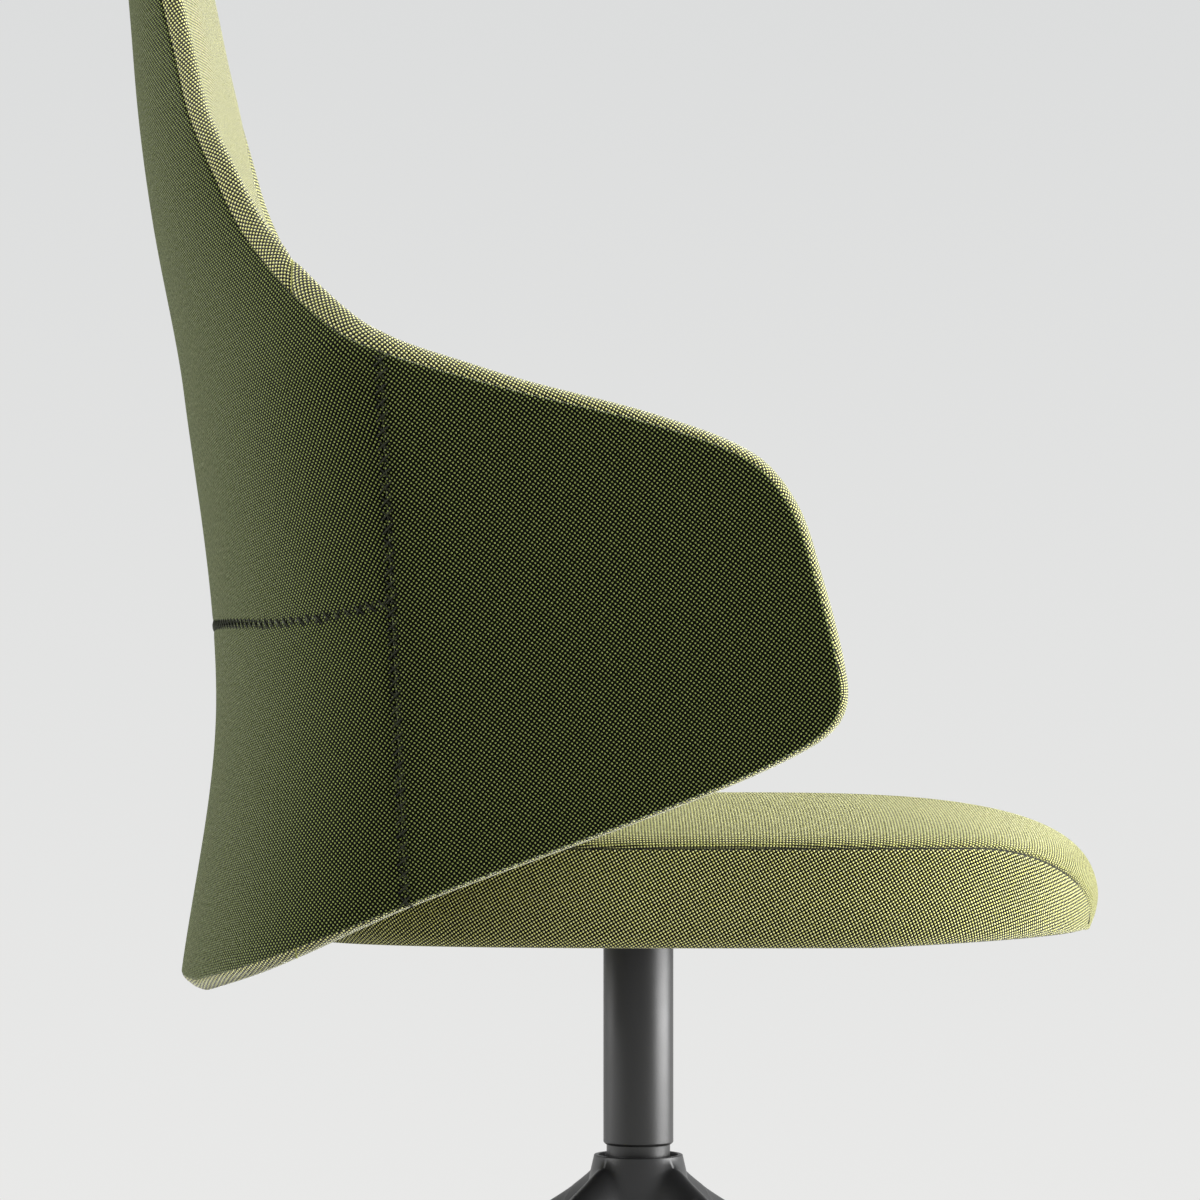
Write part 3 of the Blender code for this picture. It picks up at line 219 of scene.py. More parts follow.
# Moulded polypropylene: an even spark-eroded grain of about 0.8 mm from the mould, dull black.
def mouldedPlastic(name, colour, roughness):
    made, tree, shader = startMaterial(name)
    place = addNode(tree, "ShaderNodeTexCoord", {}).outputs["Object"]
    grain = addNode(tree, "ShaderNodeTexVoronoi", {"Vector": place, "Scale": 1200.0})
    scuff = addNode(tree, "ShaderNodeTexNoise", {"Vector": place, "Scale": 24.0, "Detail": 5.0})
    tint = addNode(
        tree,
        "ShaderNodeMix",
        {"Factor": scuff.outputs[0], "A": linear(colour), "B": linear("2B2B2B")},
        data_type="RGBA",
    )
    relief = {"Strength": 0.3, "Distance": 0.0001, "Height": grain.outputs["Distance"]}
    bump = addNode(tree, "ShaderNodeBump", relief)
    tree.links.new(tint.outputs["Result"], shader.inputs["Base Color"])
    tree.links.new(bump.outputs[0], shader.inputs["Normal"])
    shader.inputs["Roughness"].default_value = roughness
    shader.inputs["Specular IOR Level"].default_value = 0.22
    return made


trayPlastic = mouldedPlastic("moulded polypropylene, black", "171717", 0.72)
footPlastic = mouldedPlastic("moulded nylon, black", "141414", 0.62)


# Ground steel and zinc plate: a bright grain of about 1 mm, or the 6 mm clouds of passivated plate.
def metal(name, colour, shade, roughness, grainScale):
    made, tree, shader = startMaterial(name)
    place = addNode(tree, "ShaderNodeTexCoord", {}).outputs["Object"]
    grain = addNode(tree, "ShaderNodeTexNoise", {"Vector": place, "Scale": grainScale, "Detail": 3.0})
    tint = addNode(
        tree,
        "ShaderNodeMix",
        {"Factor": grain.outputs[0], "A": linear(colour), "B": linear(shade)},
        data_type="RGBA",
    )
    rough = addNode(
        tree,
        "ShaderNodeMapRange",
        {"Value": grain.outputs[0], "To Min": roughness - 0.08, "To Max": roughness + 0.08},
    )
    tree.links.new(tint.outputs["Result"], shader.inputs["Base Color"])
    tree.links.new(rough.outputs[0], shader.inputs["Roughness"])
    shader.inputs["Metallic"].default_value = 1.0
    return made


brightSteel = metal("ground steel, bright", "C9C9CB", "A8A8AC", 0.26, 900.0)
zincPlate = metal("zinc plate, passivated", "C2C2BC", "9FA09A", 0.36, 160.0)


# Rotary-cut beech plywood: long soft grain, 3 mm apart, in warm browns.
def beechPly(name):
    made, tree, shader = startMaterial(name)
    place = addNode(tree, "ShaderNodeTexCoord", {}).outputs["Object"]
    stretched = addNode(tree, "ShaderNodeMapping", {"Vector": place, "Scale": (330.0, 330.0, 18.0)})
    grain = {"Vector": stretched.outputs[0], "Scale": 1.0, "Detail": 4.0}
    grain = addNode(tree, "ShaderNodeTexNoise", grain)
    tint = addNode(
        tree,
        "ShaderNodeMix",
        {"Factor": grain.outputs[0], "A": linear("C79A66"), "B": linear("9A6C3E")},
        data_type="RGBA",
    )
    tree.links.new(tint.outputs["Result"], shader.inputs["Base Color"])
    shader.inputs["Roughness"].default_value = 0.62
    return made


plywood = beechPly("beech plywood, rotary cut")


# Acetal rod, turned: milky white, faintly cloudy.
def turnedAcetal(name):
    made, tree, shader = startMaterial(name)
    place = addNode(tree, "ShaderNodeTexCoord", {}).outputs["Object"]
    cloud = addNode(tree, "ShaderNodeTexNoise", {"Vector": place, "Scale": 220.0, "Detail": 2.0})
    tint = addNode(
        tree,
        "ShaderNodeMix",
        {"Factor": cloud.outputs[0], "A": linear("EDEBE2"), "B": linear("DFDCD0")},
        data_type="RGBA",
    )
    tree.links.new(tint.outputs["Result"], shader.inputs["Base Color"])
    shader.inputs["Roughness"].default_value = 0.4
    return made


acetal = turnedAcetal("acetal, turned")


# Polyester sewing thread, three-ply: a thin cord with a low shine and 0.5 mm twist.
def sewingThread(name, colour, lit):
    made, tree, shader = startMaterial(name)
    place = addNode(tree, "ShaderNodeTexCoord", {}).outputs["Object"]
    twist = addNode(tree, "ShaderNodeTexNoise", {"Vector": place, "Scale": 1900.0, "Detail": 1.0})
    tint = addNode(
        tree,
        "ShaderNodeMix",
        {"Factor": twist.outputs[0], "A": linear(colour), "B": linear(lit)},
        data_type="RGBA",
    )
    relief = {"Strength": 0.5, "Distance": 0.0002, "Height": twist.outputs[0]}
    bump = addNode(tree, "ShaderNodeBump", relief)
    tree.links.new(tint.outputs["Result"], shader.inputs["Base Color"])
    tree.links.new(bump.outputs[0], shader.inputs["Normal"])
    shader.inputs["Roughness"].default_value = 0.7
    shader.inputs["Specular IOR Level"].default_value = 0.3
    return made


# The dark thread also makes the seat's seam cord, painted shade in the seam's groove
darkThreadAndSeamShade = sewingThread("polyester thread, dark olive, and seam shade", "0B0D05", "23280F")
strawThread = sewingThread("polyester thread, straw", "6E7038", "A9AC62")
print("materials:", len(bpy.data.materials))


# Smooth curve through (place, value) pairs that never overshoots them
def smoothCurve(keys):
    places = [key[0] for key in keys]
    values = [key[1] for key in keys]
    spans = [b - a for a, b in zip(places, places[1:])]
    rates = [(b - a) / span for a, b, span in zip(values, values[1:], spans)]
    slopes = [rates[0]]
    for before, after in zip(rates, rates[1:]):
        slopes.append(0.0 if before * after <= 0 else 2 * before * after / (before + after))
    slopes.append(rates[-1])

    def value(place):
        index = 0
        while index < len(spans) - 1 and place > places[index + 1]:
            index += 1
        part = (place - places[index]) / spans[index]
        if part < 0 or part > 1:
            end = 0 if part < 0 else index + 1
            return values[end] + slopes[end] * (place - places[end])
        rise = part * part * (3 - 2 * part)
        lead = part * (1 - part) ** 2 * slopes[index]
        tail = part * part * (1 - part) * slopes[index + 1]
        return values[index] + (values[index + 1] - values[index]) * rise + spans[index] * (lead - tail)

    return value


# Points along a smooth line through the given ones, no further apart than the spacing
def lineThrough(points, spacing):
    knots = [Vector(point) for point in points]
    line = [knots[0]]
    for index in range(len(knots) - 1):
        start, end = knots[index], knots[index + 1]
        before = knots[index - 1] if index else start * 2 - end
        after = knots[index + 2] if index + 2 < len(knots) else end * 2 - start
        reach = (end - start).length
        steps = max(1, math.ceil(reach / spacing))
        leave = (end - before).normalized() * reach
        arrive = (after - start).normalized() * reach
        for step in range(1, steps + 1):
            t = step / steps
            curve = leave * (t * (1 - t) ** 2) - arrive * (t * t * (1 - t))
            line.append(start.lerp(end, t * t * (3 - 2 * t)) + curve)
    return line


# Plain mesh from a bmesh; the flat layer of its points becomes the UV map, in metres
def meshFrom(shape, name, sharpAngle=50):
    flat = shape.verts.layers.float_vector.get("flat")
    if flat:
        uv = shape.loops.layers.uv.new("cloth")
        for face in shape.faces:
            for corner in face.loops:
                corner[uv].uv = corner.vert[flat].xy
    mesh = bpy.data.meshes.new(name)
    shape.to_mesh(mesh)
    shape.free()
    mesh.shade_smooth()
    mesh.set_sharp_from_angle(angle=math.radians(sharpAngle))
    return mesh


def addObject(name, data):
    made = bpy.data.objects.new(name, data)
    bpy.context.scene.collection.objects.link(made)
    return made


def dressed(piece, body, slotName, *nodes):
    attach(piece, body)
    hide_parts(*nodes)
    return piece


def addPiece(name, mesh, surface, body, slotName, *nodes):
    mesh.materials.clear()
    mesh.materials.append(surface)
    return dressed(addObject(name, mesh), body, slotName, *nodes)


# Evaluates a piece's modifiers into a plain mesh
def settle(piece):
    graph = bpy.context.evaluated_depsgraph_get()
    mesh = bpy.data.meshes.new_from_object(piece.evaluated_get(graph))
    piece.modifiers.clear()
    piece.data = mesh


# Gives a cloth its thickness, inwards
def thicken(piece, thickness):
    wall = piece.modifiers.new("wall", "SOLIDIFY")
    wall.thickness = thickness
    wall.offset = -1.0
    settle(piece)


# Closed bands of faces from each loop of points to the next
def joinLoops(shape, *loops):
    for first, second in zip(loops, loops[1:]):
        for index in range(len(first)):
            other = (index + 1) % len(first)
            shape.faces.new((first[index], first[other], second[other], second[index]))


def faceOut(shape):
    bmesh.ops.recalc_face_normals(shape, faces=shape.faces[:])


def pointLayer(shape, name):
    return shape.verts.layers.float_vector[name]


# Keeps the side of a plane that its normal points to, or only cuts the faces along it
def cutAlong(shape, point, normal, keepSide=True):
    everything = shape.verts[:] + shape.edges[:] + shape.faces[:]
    plane = {"plane_co": point, "plane_no": normal}
    bmesh.ops.bisect_plane(shape, geom=everything, dist=1e-6, clear_inner=keepSide, **plane)


# Keeps the half of a shape on one side, -1 for the right and 1 for the left
def keepHalf(shape, side):
    other = [face for face in shape.faces if face.calc_center_median().x * side < 0]
    bmesh.ops.delete(shape, geom=other, context="FACES")


# Sinks the points near a seam into the padding, in along their own direction
def sinkSeam(shape, point, normal, depth, reach):
    into = pointLayer(shape, "into")
    for corner in shape.verts:
        away = abs((corner.co - point).dot(normal))
        if away < reach:
            corner.co += corner[into] * depth * (1 - away / reach) ** 2


shell = {
    "rear": (
        (0.330, 0.324),
        (0.530, 0.298),
        (0.740, 0.320),
        (0.860, 0.3412),
        (0.940, 0.3515),
        (1.030, 0.3595),
        (1.220, 0.3800),
    ),
    "halfWidth": (
        (0.330, 0.285),
        (0.450, 0.305),
        (0.600, 0.325),
        (0.720, 0.335),
        (0.860, 0.262),
        (1.000, 0.182),
        (1.220, 0.170),
    ),
    "corner": ((0.330, 0.165), (0.740, 0.165), (1.000, 0.070), (1.220, 0.062)),
    "flatness": ((0.330, 1.0), (0.740, 1.0), (0.950, 1.2), (1.220, 1.2)),  # of the back, in plan
    # depth, height and edge roll along the outer cover's edge, rear bottom to top
    "edge": (
        (0.300, 0.337, 0.006),
        (0.250, 0.353, 0.005),
        (0.150, 0.391, 0.003),
        (-0.036, 0.461, 0.003),
        (-0.097, 0.489, 0.0035),
        (-0.1195, 0.5075, 0.0045),
        (-0.1230, 0.530, 0.0048),
        (-0.1050, 0.601, 0.0050),
        (-0.0905, 0.640, 0.0052),
        (-0.0655, 0.668, 0.0056),
        (-0.008, 0.690, 0.0066),
        (0.093, 0.7150, 0.0090),
        (0.178, 0.7425, 0.0140),
        (0.2157, 0.771, 0.015),
        (0.2416, 0.800, 0.0145),
        (0.2612, 0.8286, 0.0135),
        (0.281, 0.8686, 0.012),
        (0.2981, 0.909, 0.0105),
        (0.3094, 0.9505, 0.0105),
        (0.3204, 0.9918, 0.0105),
        (0.3305, 1.040, 0.0105),
        (0.3384, 1.080, 0.0105),
        (0.3535, 1.165, 0.0105),
        (0.3642, 1.195, 0.0105),
        (0.3731, 1.212, 0.0105),
        (0.3786, 1.2205, 0.0105),
    ),
    "edgeThickness": 0.018,
    "padCrown": (
        (0.330, 0.012),
        (0.430, 0.036),
        (0.600, 0.038),
        (0.950, 0.041),
        (1.013, 0.034),
        (1.075, 0.027),
        (1.150, 0.0185),
        (1.190, 0.0115),
        (1.2205, 0.0),
    ),
    "padFullness": ((0.330, 2.0), (0.720, 2.0), (0.900, 2.6), (1.220, 2.6)),
    "sideSeam": ((0.150, 0.389), (0.164, 0.737)),  # depth and height of its two ends
    "backSeam": 0.580,
    "padSeam": 0.222,
    "rowSpacing": 0.006,
    "columns": 150,
    "rimLines": (0.0, 0.0012, 0.003, 0.006, 0.011),  # distances of the lines nearest the edge
    "rimShare": 0.4,  # part of a narrow row that those lines may take
    "leastSteepness": 0.2,
    "coverThickness": 0.003,
    "curlDepth": 0.0010,  # the cover's edge turns in where it meets the pad
    "curlReach": 0.003,
    "curlShare": 0.1,  # of the rim's roll
    "rimStart": math.radians(38),  # how far the rim has turned where it leaves the crease
    "rimEnds": (math.radians(100), math.radians(179)),  # between these it runs into the front
    "rimHalvings": 30,
    "rimRises": (0.02, 1.5),  # least and most slope of the front where the rim meets it
    "rimFirmness": 0.5,  # how far a seam sinks into the rim, against the pad's front
    "lowFirmness": 0.05,  # and into the rim below the arms
    "firmAbove": 0.6,
    "cordRadius": 0.0005,  # thread that shows in the pads' seams
    "rimEvening": 0.025,  # length either side over which the rim's directions are averaged
    "flatSteps": 320,
    "flatPush": 1.6,  # over-relaxation of the springs
    "plumb": 0.147,  # the cloth of the side covers hangs true at this depth
    "padPlumb": 0.212,  # and that of the arm pads at this
    "backSag": (
        (0.150, 0.0015),
        (0.1735, -0.0020),
        (0.1995, -0.0068),
        (0.236, -0.0085),
        (0.275, -0.0045),
        (0.310, 0.0),
        (0.330, 0.0005),
    ),  # the back seam dips a little on its way round to the side seams
    "padBack": 0.0134,
    "lapDepth": 0.0047,  # of the pad's back at the edge, where it laps the core
    "lapReach": 0.012,
    "rollSteps": 14,
    "coverSeamDepth": 0.0012,
    "padSeamDepth": 0.0045,
    "seamReach": 0.008,
    "seamLines": (0.0015, 0.0035, 0.006, 0.009),
}
planCurves = ("rear", "halfWidth", "corner", "flatness")
rearLine, halfWidth, cornerDepth, flatness = [smoothCurve(shell[key]) for key in planCurves]
clothCurves = ("padCrown", "padFullness", "backSag")
padCrown, padFullness, backSag = [smoothCurve(shell[key]) for key in clothCurves]


nudge = 0.001  # small step for slopes


# Half ellipse in plan, with straight arms past a quarter turn each side
def outerPoint(turn, height):
    bend = min(abs(turn), quarterTurn)
    straight = max(abs(turn) - quarterTurn, 0.0)
    across = math.copysign(halfWidth(height) * math.sin(bend), turn)
    power = flatness(height)
    forward = cornerDepth(height) * ((1 - math.cos(bend)) ** power + power * straight)
    return Vector((across, axisY + rearLine(height) - forward, height))


def inward(turn, height):
    along = outerPoint(turn + nudge, height) - outerPoint(turn - nudge, height)
    upward = outerPoint(turn, height + nudge) - outerPoint(turn, height - nudge)
    return along.cross(upward).normalized()


def turnAt(depth, height):
    share = (rearLine(height) - depth) / cornerDepth(height)
    if share < 1:
        return math.acos(1 - share ** (1 / flatness(height)))
    return quarterTurn + (share - 1) / flatness(height)


# Each row of the shell: height, edge roll, and the turns of its lines from edge to edge
def shellRows():
    edge = lineThrough(shell["edge"], shell["rowSpacing"])
    spots = [outerPoint(turnAt(depth, height), height) for depth, height, roll in edge]
    rows = []
    for index, (depth, height, roll) in enumerate(edge):
        last = turnAt(depth, height)
        here, there = spots[max(index - 1, 0)], spots[min(index + 1, len(edge) - 1)]
        steepness = max(abs(there.z - here.z) / (there - here).length, shell["leastSteepness"])
        perMetre = nudge / (outerPoint(last, height) - outerPoint(last - nudge, height)).length
        rim = [last - away / steepness * perMetre for away in shell["rimLines"]]
        if rim[-1] < last * (1 - shell["rimShare"]):
            rim = [last * (1 - shell["rimShare"] * step / (len(rim) - 1)) for step in range(len(rim))]
        inner = [rim[-1] * (1 - 2 * step / shell["columns"]) for step in range(1, shell["columns"])]
        rows.append((height, roll, [-turn for turn in rim] + [-turn for turn in inner] + rim[::-1]))
    return rows


rows = shellRows()
rowCount, columnCount = len(rows), len(rows[0][2])
intoShell = [[inward(turn, height) for turn in turns] for height, roll, turns in rows]
outerSkin = [[outerPoint(turn, height) for turn in turns] for height, roll, turns in rows]


def boundaryTrip():
    bottom = [(0, j) for j in range(columnCount - 1)]
    right = [(i, columnCount - 1) for i in range(rowCount - 1)]
    top = [(rowCount - 1, j) for j in range(columnCount - 1, 0, -1)]
    left = [(i, 0) for i in range(rowCount - 1, 0, -1)]
    return bottom + right + top + left


trip = boundaryTrip()
rimSpots = [outerSkin[i][j] for i, j in trip]
rimAfter = rimSpots[1:] + rimSpots[:1]
rimGaps = [(after - spot).length for spot, after in zip(rimSpots, rimAfter)]
gapParts = 4
rimTree = kdtree.KDTree(len(trip) * gapParts)
for index, (spot, after) in enumerate(zip(rimSpots, rimAfter)):
    for part in range(gapParts):
        rimTree.insert(spot.lerp(after, part / gapParts), index * gapParts + part)
rimTree.balance()


# Springs between neighbours and across every cell pull the flat places towards the true lengths
def layFlat(grid, places, heldMiddle):
    solid = numpy.array([[tuple(point) for point in row] for row in grid])
    laid = numpy.array(places)
    ends = [
        (numpy.s_[:, :-1], numpy.s_[:, 1:]),
        (numpy.s_[:-1, :], numpy.s_[1:, :]),
        (numpy.s_[:-1, :-1], numpy.s_[1:, 1:]),
        (numpy.s_[:-1, 1:], numpy.s_[1:, :-1]),
    ]
    lengths = [numpy.linalg.norm(solid[b] - solid[a], axis=2) for a, b in ends]
    share = numpy.zeros(laid.shape[:2] + (1,))
    for a, b in ends:
        share[a] += 1
        share[b] += 1
    for step in range(shell["flatSteps"]):
        shift = numpy.zeros_like(laid)
        for (a, b), length in zip(ends, lengths):
            run = laid[b] - laid[a]
            now = numpy.maximum(numpy.linalg.norm(run, axis=2), 1e-9)
            pull = run * (0.5 * (1 - length / now))[..., None]
            shift[a] += pull
            shift[b] -= pull
        laid += shift / share * shell["flatPush"]
        if heldMiddle:
            laid[:, 0, 0] = 0.0
    return laid.tolist()


# Length along each row to where it passes the given depth; rows that stop short keep their
# neighbour's
def plumbRuns(grid, runLines, depth):
    starts = []
    for row, runs in zip(grid, runLines):
        depths = [point.y - axisY for point in row]
        last = next((j for j in range(1, len(row)) if depths[j] <= depth), None)
        if last is None:
            starts.append(starts[-1] if starts else None)
            continue
        part = (depths[last - 1] - depth) / (depths[last - 1] - depths[last])
        starts.append(runs[last - 1] + (runs[last] - runs[last - 1]) * part)
    first = next(start for start in starts if start is not None)
    return [first if start is None else start for start in starts]


# Flat-cloth places of a grid: length along each row from its middle or from a plumb line at the
# given depth, and climb from the row below; the left half mirrors the right
def flatPlaces(grid, plumb=None):
    middle = columnCount // 2
    half = [row[middle:] for row in grid]
    runLines = []
    for row in half:
        runs = [0.0]
        for before, after in zip(row, row[1:]):
            runs.append(runs[-1] + (after - before).length)
        runLines.append(runs)
    if plumb is not None:
        starts = plumbRuns(half, runLines, plumb)
        runLines = [[run - start for run in runs] for start, runs in zip(starts, runLines)]
    places = []
    for i, row in enumerate(half):
        runs = runLines[i]
        climbs = [0.0] * len(row)
        for j in range(len(row) if i else 0):
            below = half[i - 1]
            k = min(max(bisect.bisect(belowRuns, runs[j]) - 1, 0), len(row) - 2)
            part = (runs[j] - belowRuns[k]) / (belowRuns[k + 1] - belowRuns[k])
            step = row[j] - below[k].lerp(below[k + 1], part)
            along = (below[k + 1] - below[k]).normalized()
            climbs[j] = belowClimbs[k] + (step - along * step.dot(along)).length
            climbs[j] += (belowClimbs[k + 1] - belowClimbs[k]) * min(max(part, 0.0), 1.0)
        places.append(list(zip(runs, climbs)))
        belowRuns, belowClimbs = runs, climbs
    laid = layFlat(half, places, plumb is None)
    mirrored = [[Vector((-x, y, 0.0)) for x, y in row[:0:-1]] for row in laid]
    return [left + [Vector((x, y, 0.0)) for x, y in row] for left, row in zip(mirrored, laid)]


def addGrid(shape, grid, places, sinkWay):
    flat, into = pointLayer(shape, "flat"), pointLayer(shape, "into")
    made = []
    for i in range(rowCount):
        made.append([shape.verts.new(point) for point in grid[i]])
        for j, corner in enumerate(made[-1]):
            corner[flat] = places[i][j]
            corner[into] = intoShell[i][j] * sinkWay
    for i in range(rowCount - 1):
        for j in range(columnCount - 1):
            shape.faces.new((made[i][j], made[i][j + 1], made[i + 1][j + 1], made[i + 1][j]))
    return made


def startCloth():
    shape = bmesh.new()
    shape.verts.layers.float_vector.new("flat")
    shape.verts.layers.float_vector.new("into")
    return shape


(seamLowY, seamLowZ), (seamHighY, seamHighZ) = shell["sideSeam"]
seamLean = math.atan2(seamHighY - seamLowY, seamHighZ - seamLowZ)
sideSeamPoint = Vector((0.0, axisY + seamLowY, seamLowZ))
sideSeamNormal = Vector((0.0, math.cos(seamLean), -math.sin(seamLean)))  # to the rear
backSeamPoint = Vector((0.0, 0.0, shell["backSeam"]))
padSeamPoint = Vector((0.0, axisY + shell["padSeam"], 0.0))
up = Vector((0.0, 0.0, 1.0))
rearward = Vector((0.0, 1.0, 0.0))


# Straightens the sagging back seam for a level cut, and lets it down again
def raiseSag(shape, normal, way):
    if normal.z in (1.0, -1.0):
        for corner in shape.verts:
            corner.co.z += way * backSag(corner.co.y - axisY)


def coverPoint(i, j):
    away = rimTree.find(outerSkin[i][j])[2]
    curl = max(1 - away / shell["curlReach"], 0.0) ** 2
    return outerSkin[i][j] + intoShell[i][j] * shell["curlDepth"] * curl


# Outer covers: one skin whose edge curls in, cut along the side seams and the back seam
def outerCovers():
    curled = [[coverPoint(i, j) for j in range(columnCount)] for i in range(rowCount)]
    whole, hung = startCloth(), startCloth()
    addGrid(whole, curled, flatPlaces(outerSkin), 1.0)
    addGrid(hung, curled, flatPlaces(outerSkin, shell["plumb"]), 1.0)
    toRear, toFront = (sideSeamPoint, sideSeamNormal), (sideSeamPoint, -sideSeamNormal)
    pieces = (
        ("backUpperCover", "back_upper_cover", outerBack, (toRear, (backSeamPoint, up)), 0),
        ("backLowerCover", "back_lower_cover", outerBack, (toRear, (backSeamPoint, -up)), 0),
        ("rightSideCover", "right_side_cover", outerSide, (toFront,), -1),
        ("leftSideCover", "left_side_cover", outerSide, (toFront,), 1),
    )
    made = []
    for name, node, surface, seams, side in pieces:
        shape = hung.copy() if side else whole.copy()
        flat = pointLayer(shape, "flat")
        if side:
            keepHalf(shape, side)
        for point, normal in seams:
            raiseSag(shape, normal, -1)
            cutAlong(shape, point, normal)
            for away in shell["seamLines"]:
                cutAlong(shape, point + normal * away, normal, keepSide=False)
            raiseSag(shape, normal, 1)
        for point, normal in seams:
            raiseSag(shape, normal, -1)
            sinkSeam(shape, point, normal, shell["coverSeamDepth"], shell["seamReach"])
            raiseSag(shape, normal, 1)
        if side > 0:
            for corner in shape.verts:
                corner[flat] = Vector((-corner[flat].x, corner[flat].y, 0.0))
        bmesh.ops.reverse_faces(shape, faces=shape.faces[:])
        area = sum(face.calc_area() for face in shape.faces)
        piece = addPiece(name, meshFrom(shape, name), surface, "seat", "outer_woven_cloth", node)
        thicken(piece, shell["coverThickness"])
        made.append(piece)
    whole.free()
    hung.free()
    return made


covers = outerCovers()
print("covers:", [len(piece.data.polygons) for piece in covers])


def padDepth(i, j):
    height, roll, turns = rows[i]
    share = min(abs(turns[j]) / turns[-1], 1.0)
    return shell["edgeThickness"] + padCrown(height) * (1 - share ** padFullness(height))


# The rim rolls from its start to where it runs into the front without a crease; gives a function
# from the share of the roll to (angle, depth, distance out)
def rimRoll(thickness, roll, rise):
    first = shell["rimStart"]
    low, high = shell["rimEnds"]
    for step in range(shell["rimHalvings"]):
        last = (low + high) / 2
        lean = (math.sin(last) - math.sin(first)) / (last - first)
        top = math.acos(lean)
        peak = math.sin(top) - math.sin(first) - (top - first) * lean
        deep = thickness / (math.cos(first) - math.cos(last))
        if deep * math.sin(last) > rise * roll / peak * (lean - math.cos(last)):
            low = last
        else:
            high = last

    def spot(part):
        angle = first + (last - first) * part
        out = math.sin(angle) - math.sin(first) - (angle - first) * lean
        return angle, deep * (math.cos(first) - math.cos(angle)), roll / peak * out

    return spot


# Places on the rim near one of its points, each weighted by nearness and the length it stands for
def rimNeighbours(index):
    reach = shell["rimEvening"]
    near = [(index, rimGaps[index - 1] + rimGaps[index])]
    for way in (1, -1):
        other, away = index, rimGaps[index if way > 0 else index - 1]
        while away <= reach:
            other = (other + way) % len(trip)
            near.append((other, (rimGaps[other - 1] + rimGaps[other]) * (1 - away / reach)))
            away += rimGaps[other if way > 0 else other - 1]
    return near


def padBackPoint(i, j):
    lap = min(rimTree.find(outerSkin[i][j])[2] / shell["lapReach"], 1.0)
    depth = shell["lapDepth"] + (shell["padBack"] - shell["lapDepth"]) * lap
    return outerSkin[i][j] + intoShell[i][j] * depth


# Foam pads: a crowned front whose rim rolls over the edge to the crease, closed behind
def shellPads(plumb=None):
    front, behind = [], []
    for i in range(rowCount):
        lines = range(columnCount)
        front.append([outerSkin[i][j] + intoShell[i][j] * padDepth(i, j) for j in lines])
        behind.append([padBackPoint(i, j) for j in lines])
    places = flatPlaces(front, plumb)
    shape = startCloth()
    flat, into = pointLayer(shape, "flat"), pointLayer(shape, "into")
    frontGrid = addGrid(shape, front, places, -1.0)
    backGrid = addGrid(shape, behind, places, 0.0)
    leastRise, mostRise = shell["rimRises"]
    inset = len(shell["rimLines"]) - 1
    count = len(trip)
    outs, flatOuts, rises = [], [], []
    for index, (i, j) in enumerate(trip):
        before, after = index - 1, (index + 1) % count
        outs.append((rimSpots[after] - rimSpots[before]).cross(intoShell[i][j]).normalized())
        (k, m), (p, q) = trip[before], trip[after]
        flatRun = places[p][q] - places[k][m]
        flatOuts.append(Vector((flatRun.y, -flatRun.x, 0.0)).normalized())
        inner = front[min(max(i, 1), rowCount - 2)][min(max(j, inset), columnCount - 1 - inset)]
        inner = inner - front[i][j]
        rise = inner.dot(intoShell[i][j]) / max(-inner.dot(outs[-1]), 1e-6)
        rises.append(max(rise, leastRise))
    loops = [[] for step in range(shell["rollSteps"])]
    for index, (i, j) in enumerate(trip):
        near = rimNeighbours(index)
        outward = sum((outs[k] * weight for k, weight in near), Vector())
        outward = (outward - intoShell[i][j] * outward.dot(intoShell[i][j])).normalized()
        flatOut = sum((flatOuts[k] * weight for k, weight in near), Vector()).normalized()
        rise = sum(rises[k] * weight for k, weight in near) / sum(weight for k, weight in near)
        roll = rimRoll(padDepth(i, j), rows[i][1], min(rise, mostRise))
        firm = shell["rimFirmness"] if rows[i][0] > shell["firmAbove"] else shell["lowFirmness"]
        last = front[i][j]
        away = 0.0
        for step in range(shell["rollSteps"] - 1, -1, -1):
            part = step / shell["rollSteps"]
            angle, depth, out = roll(part)
            depth += shell["curlDepth"] * max(1 - part / shell["curlShare"], 0.0)
            corner = shape.verts.new(outerSkin[i][j] + intoShell[i][j] * depth + outward * out)
            away += (corner.co - last).length
            last = corner.co.copy()
            corner[into] = (intoShell[i][j] * math.cos(angle) - outward * math.sin(angle)) * firm
            corner[flat] = places[i][j] + flatOut * away
            loops[step].append(corner)
    backLoop, frontLoop = [[grid[i][j] for i, j in trip] for grid in (backGrid, frontGrid)]
    joinLoops(shape, backLoop, *loops, frontLoop)
    faceOut(shape)
    return shape


def sewnPads():
    whole, hung = shellPads(), shellPads(shell["padPlumb"])
    pieces = (
        ("innerBackPad", "inner_back_pad", rearward, 0),
        ("rightArmPad", "right_arm_pad", -rearward, -1),
        ("leftArmPad", "left_arm_pad", -rearward, 1),
    )
    made = []
    for name, node, normal, side in pieces:
        shape = hung.copy() if side else whole.copy()
        cutAlong(shape, padSeamPoint, normal)
        if side:
            keepHalf(shape, side)
        for away in shell["seamLines"]:
            cutAlong(shape, padSeamPoint + normal * away, normal, keepSide=False)
        sinkSeam(shape, padSeamPoint, normal, shell["padSeamDepth"], shell["seamReach"])
        rim = [edge for edge in shape.edges if edge.is_boundary]
        if not side:
            padSeamEdges.extend([corner.co.copy() for corner in edge.verts] for edge in rim)
        bmesh.ops.holes_fill(shape, edges=rim, sides=0)
        piece = addPiece(name, meshFrom(shape, name), innerTop, "seat", "inner_woven_cloth", node)
        made.append(piece)
    whole.free()
    hung.free()
    return made


padSeamEdges = []
pads = sewnPads()
print("pads:", [len(piece.data.polygons) for piece in pads])

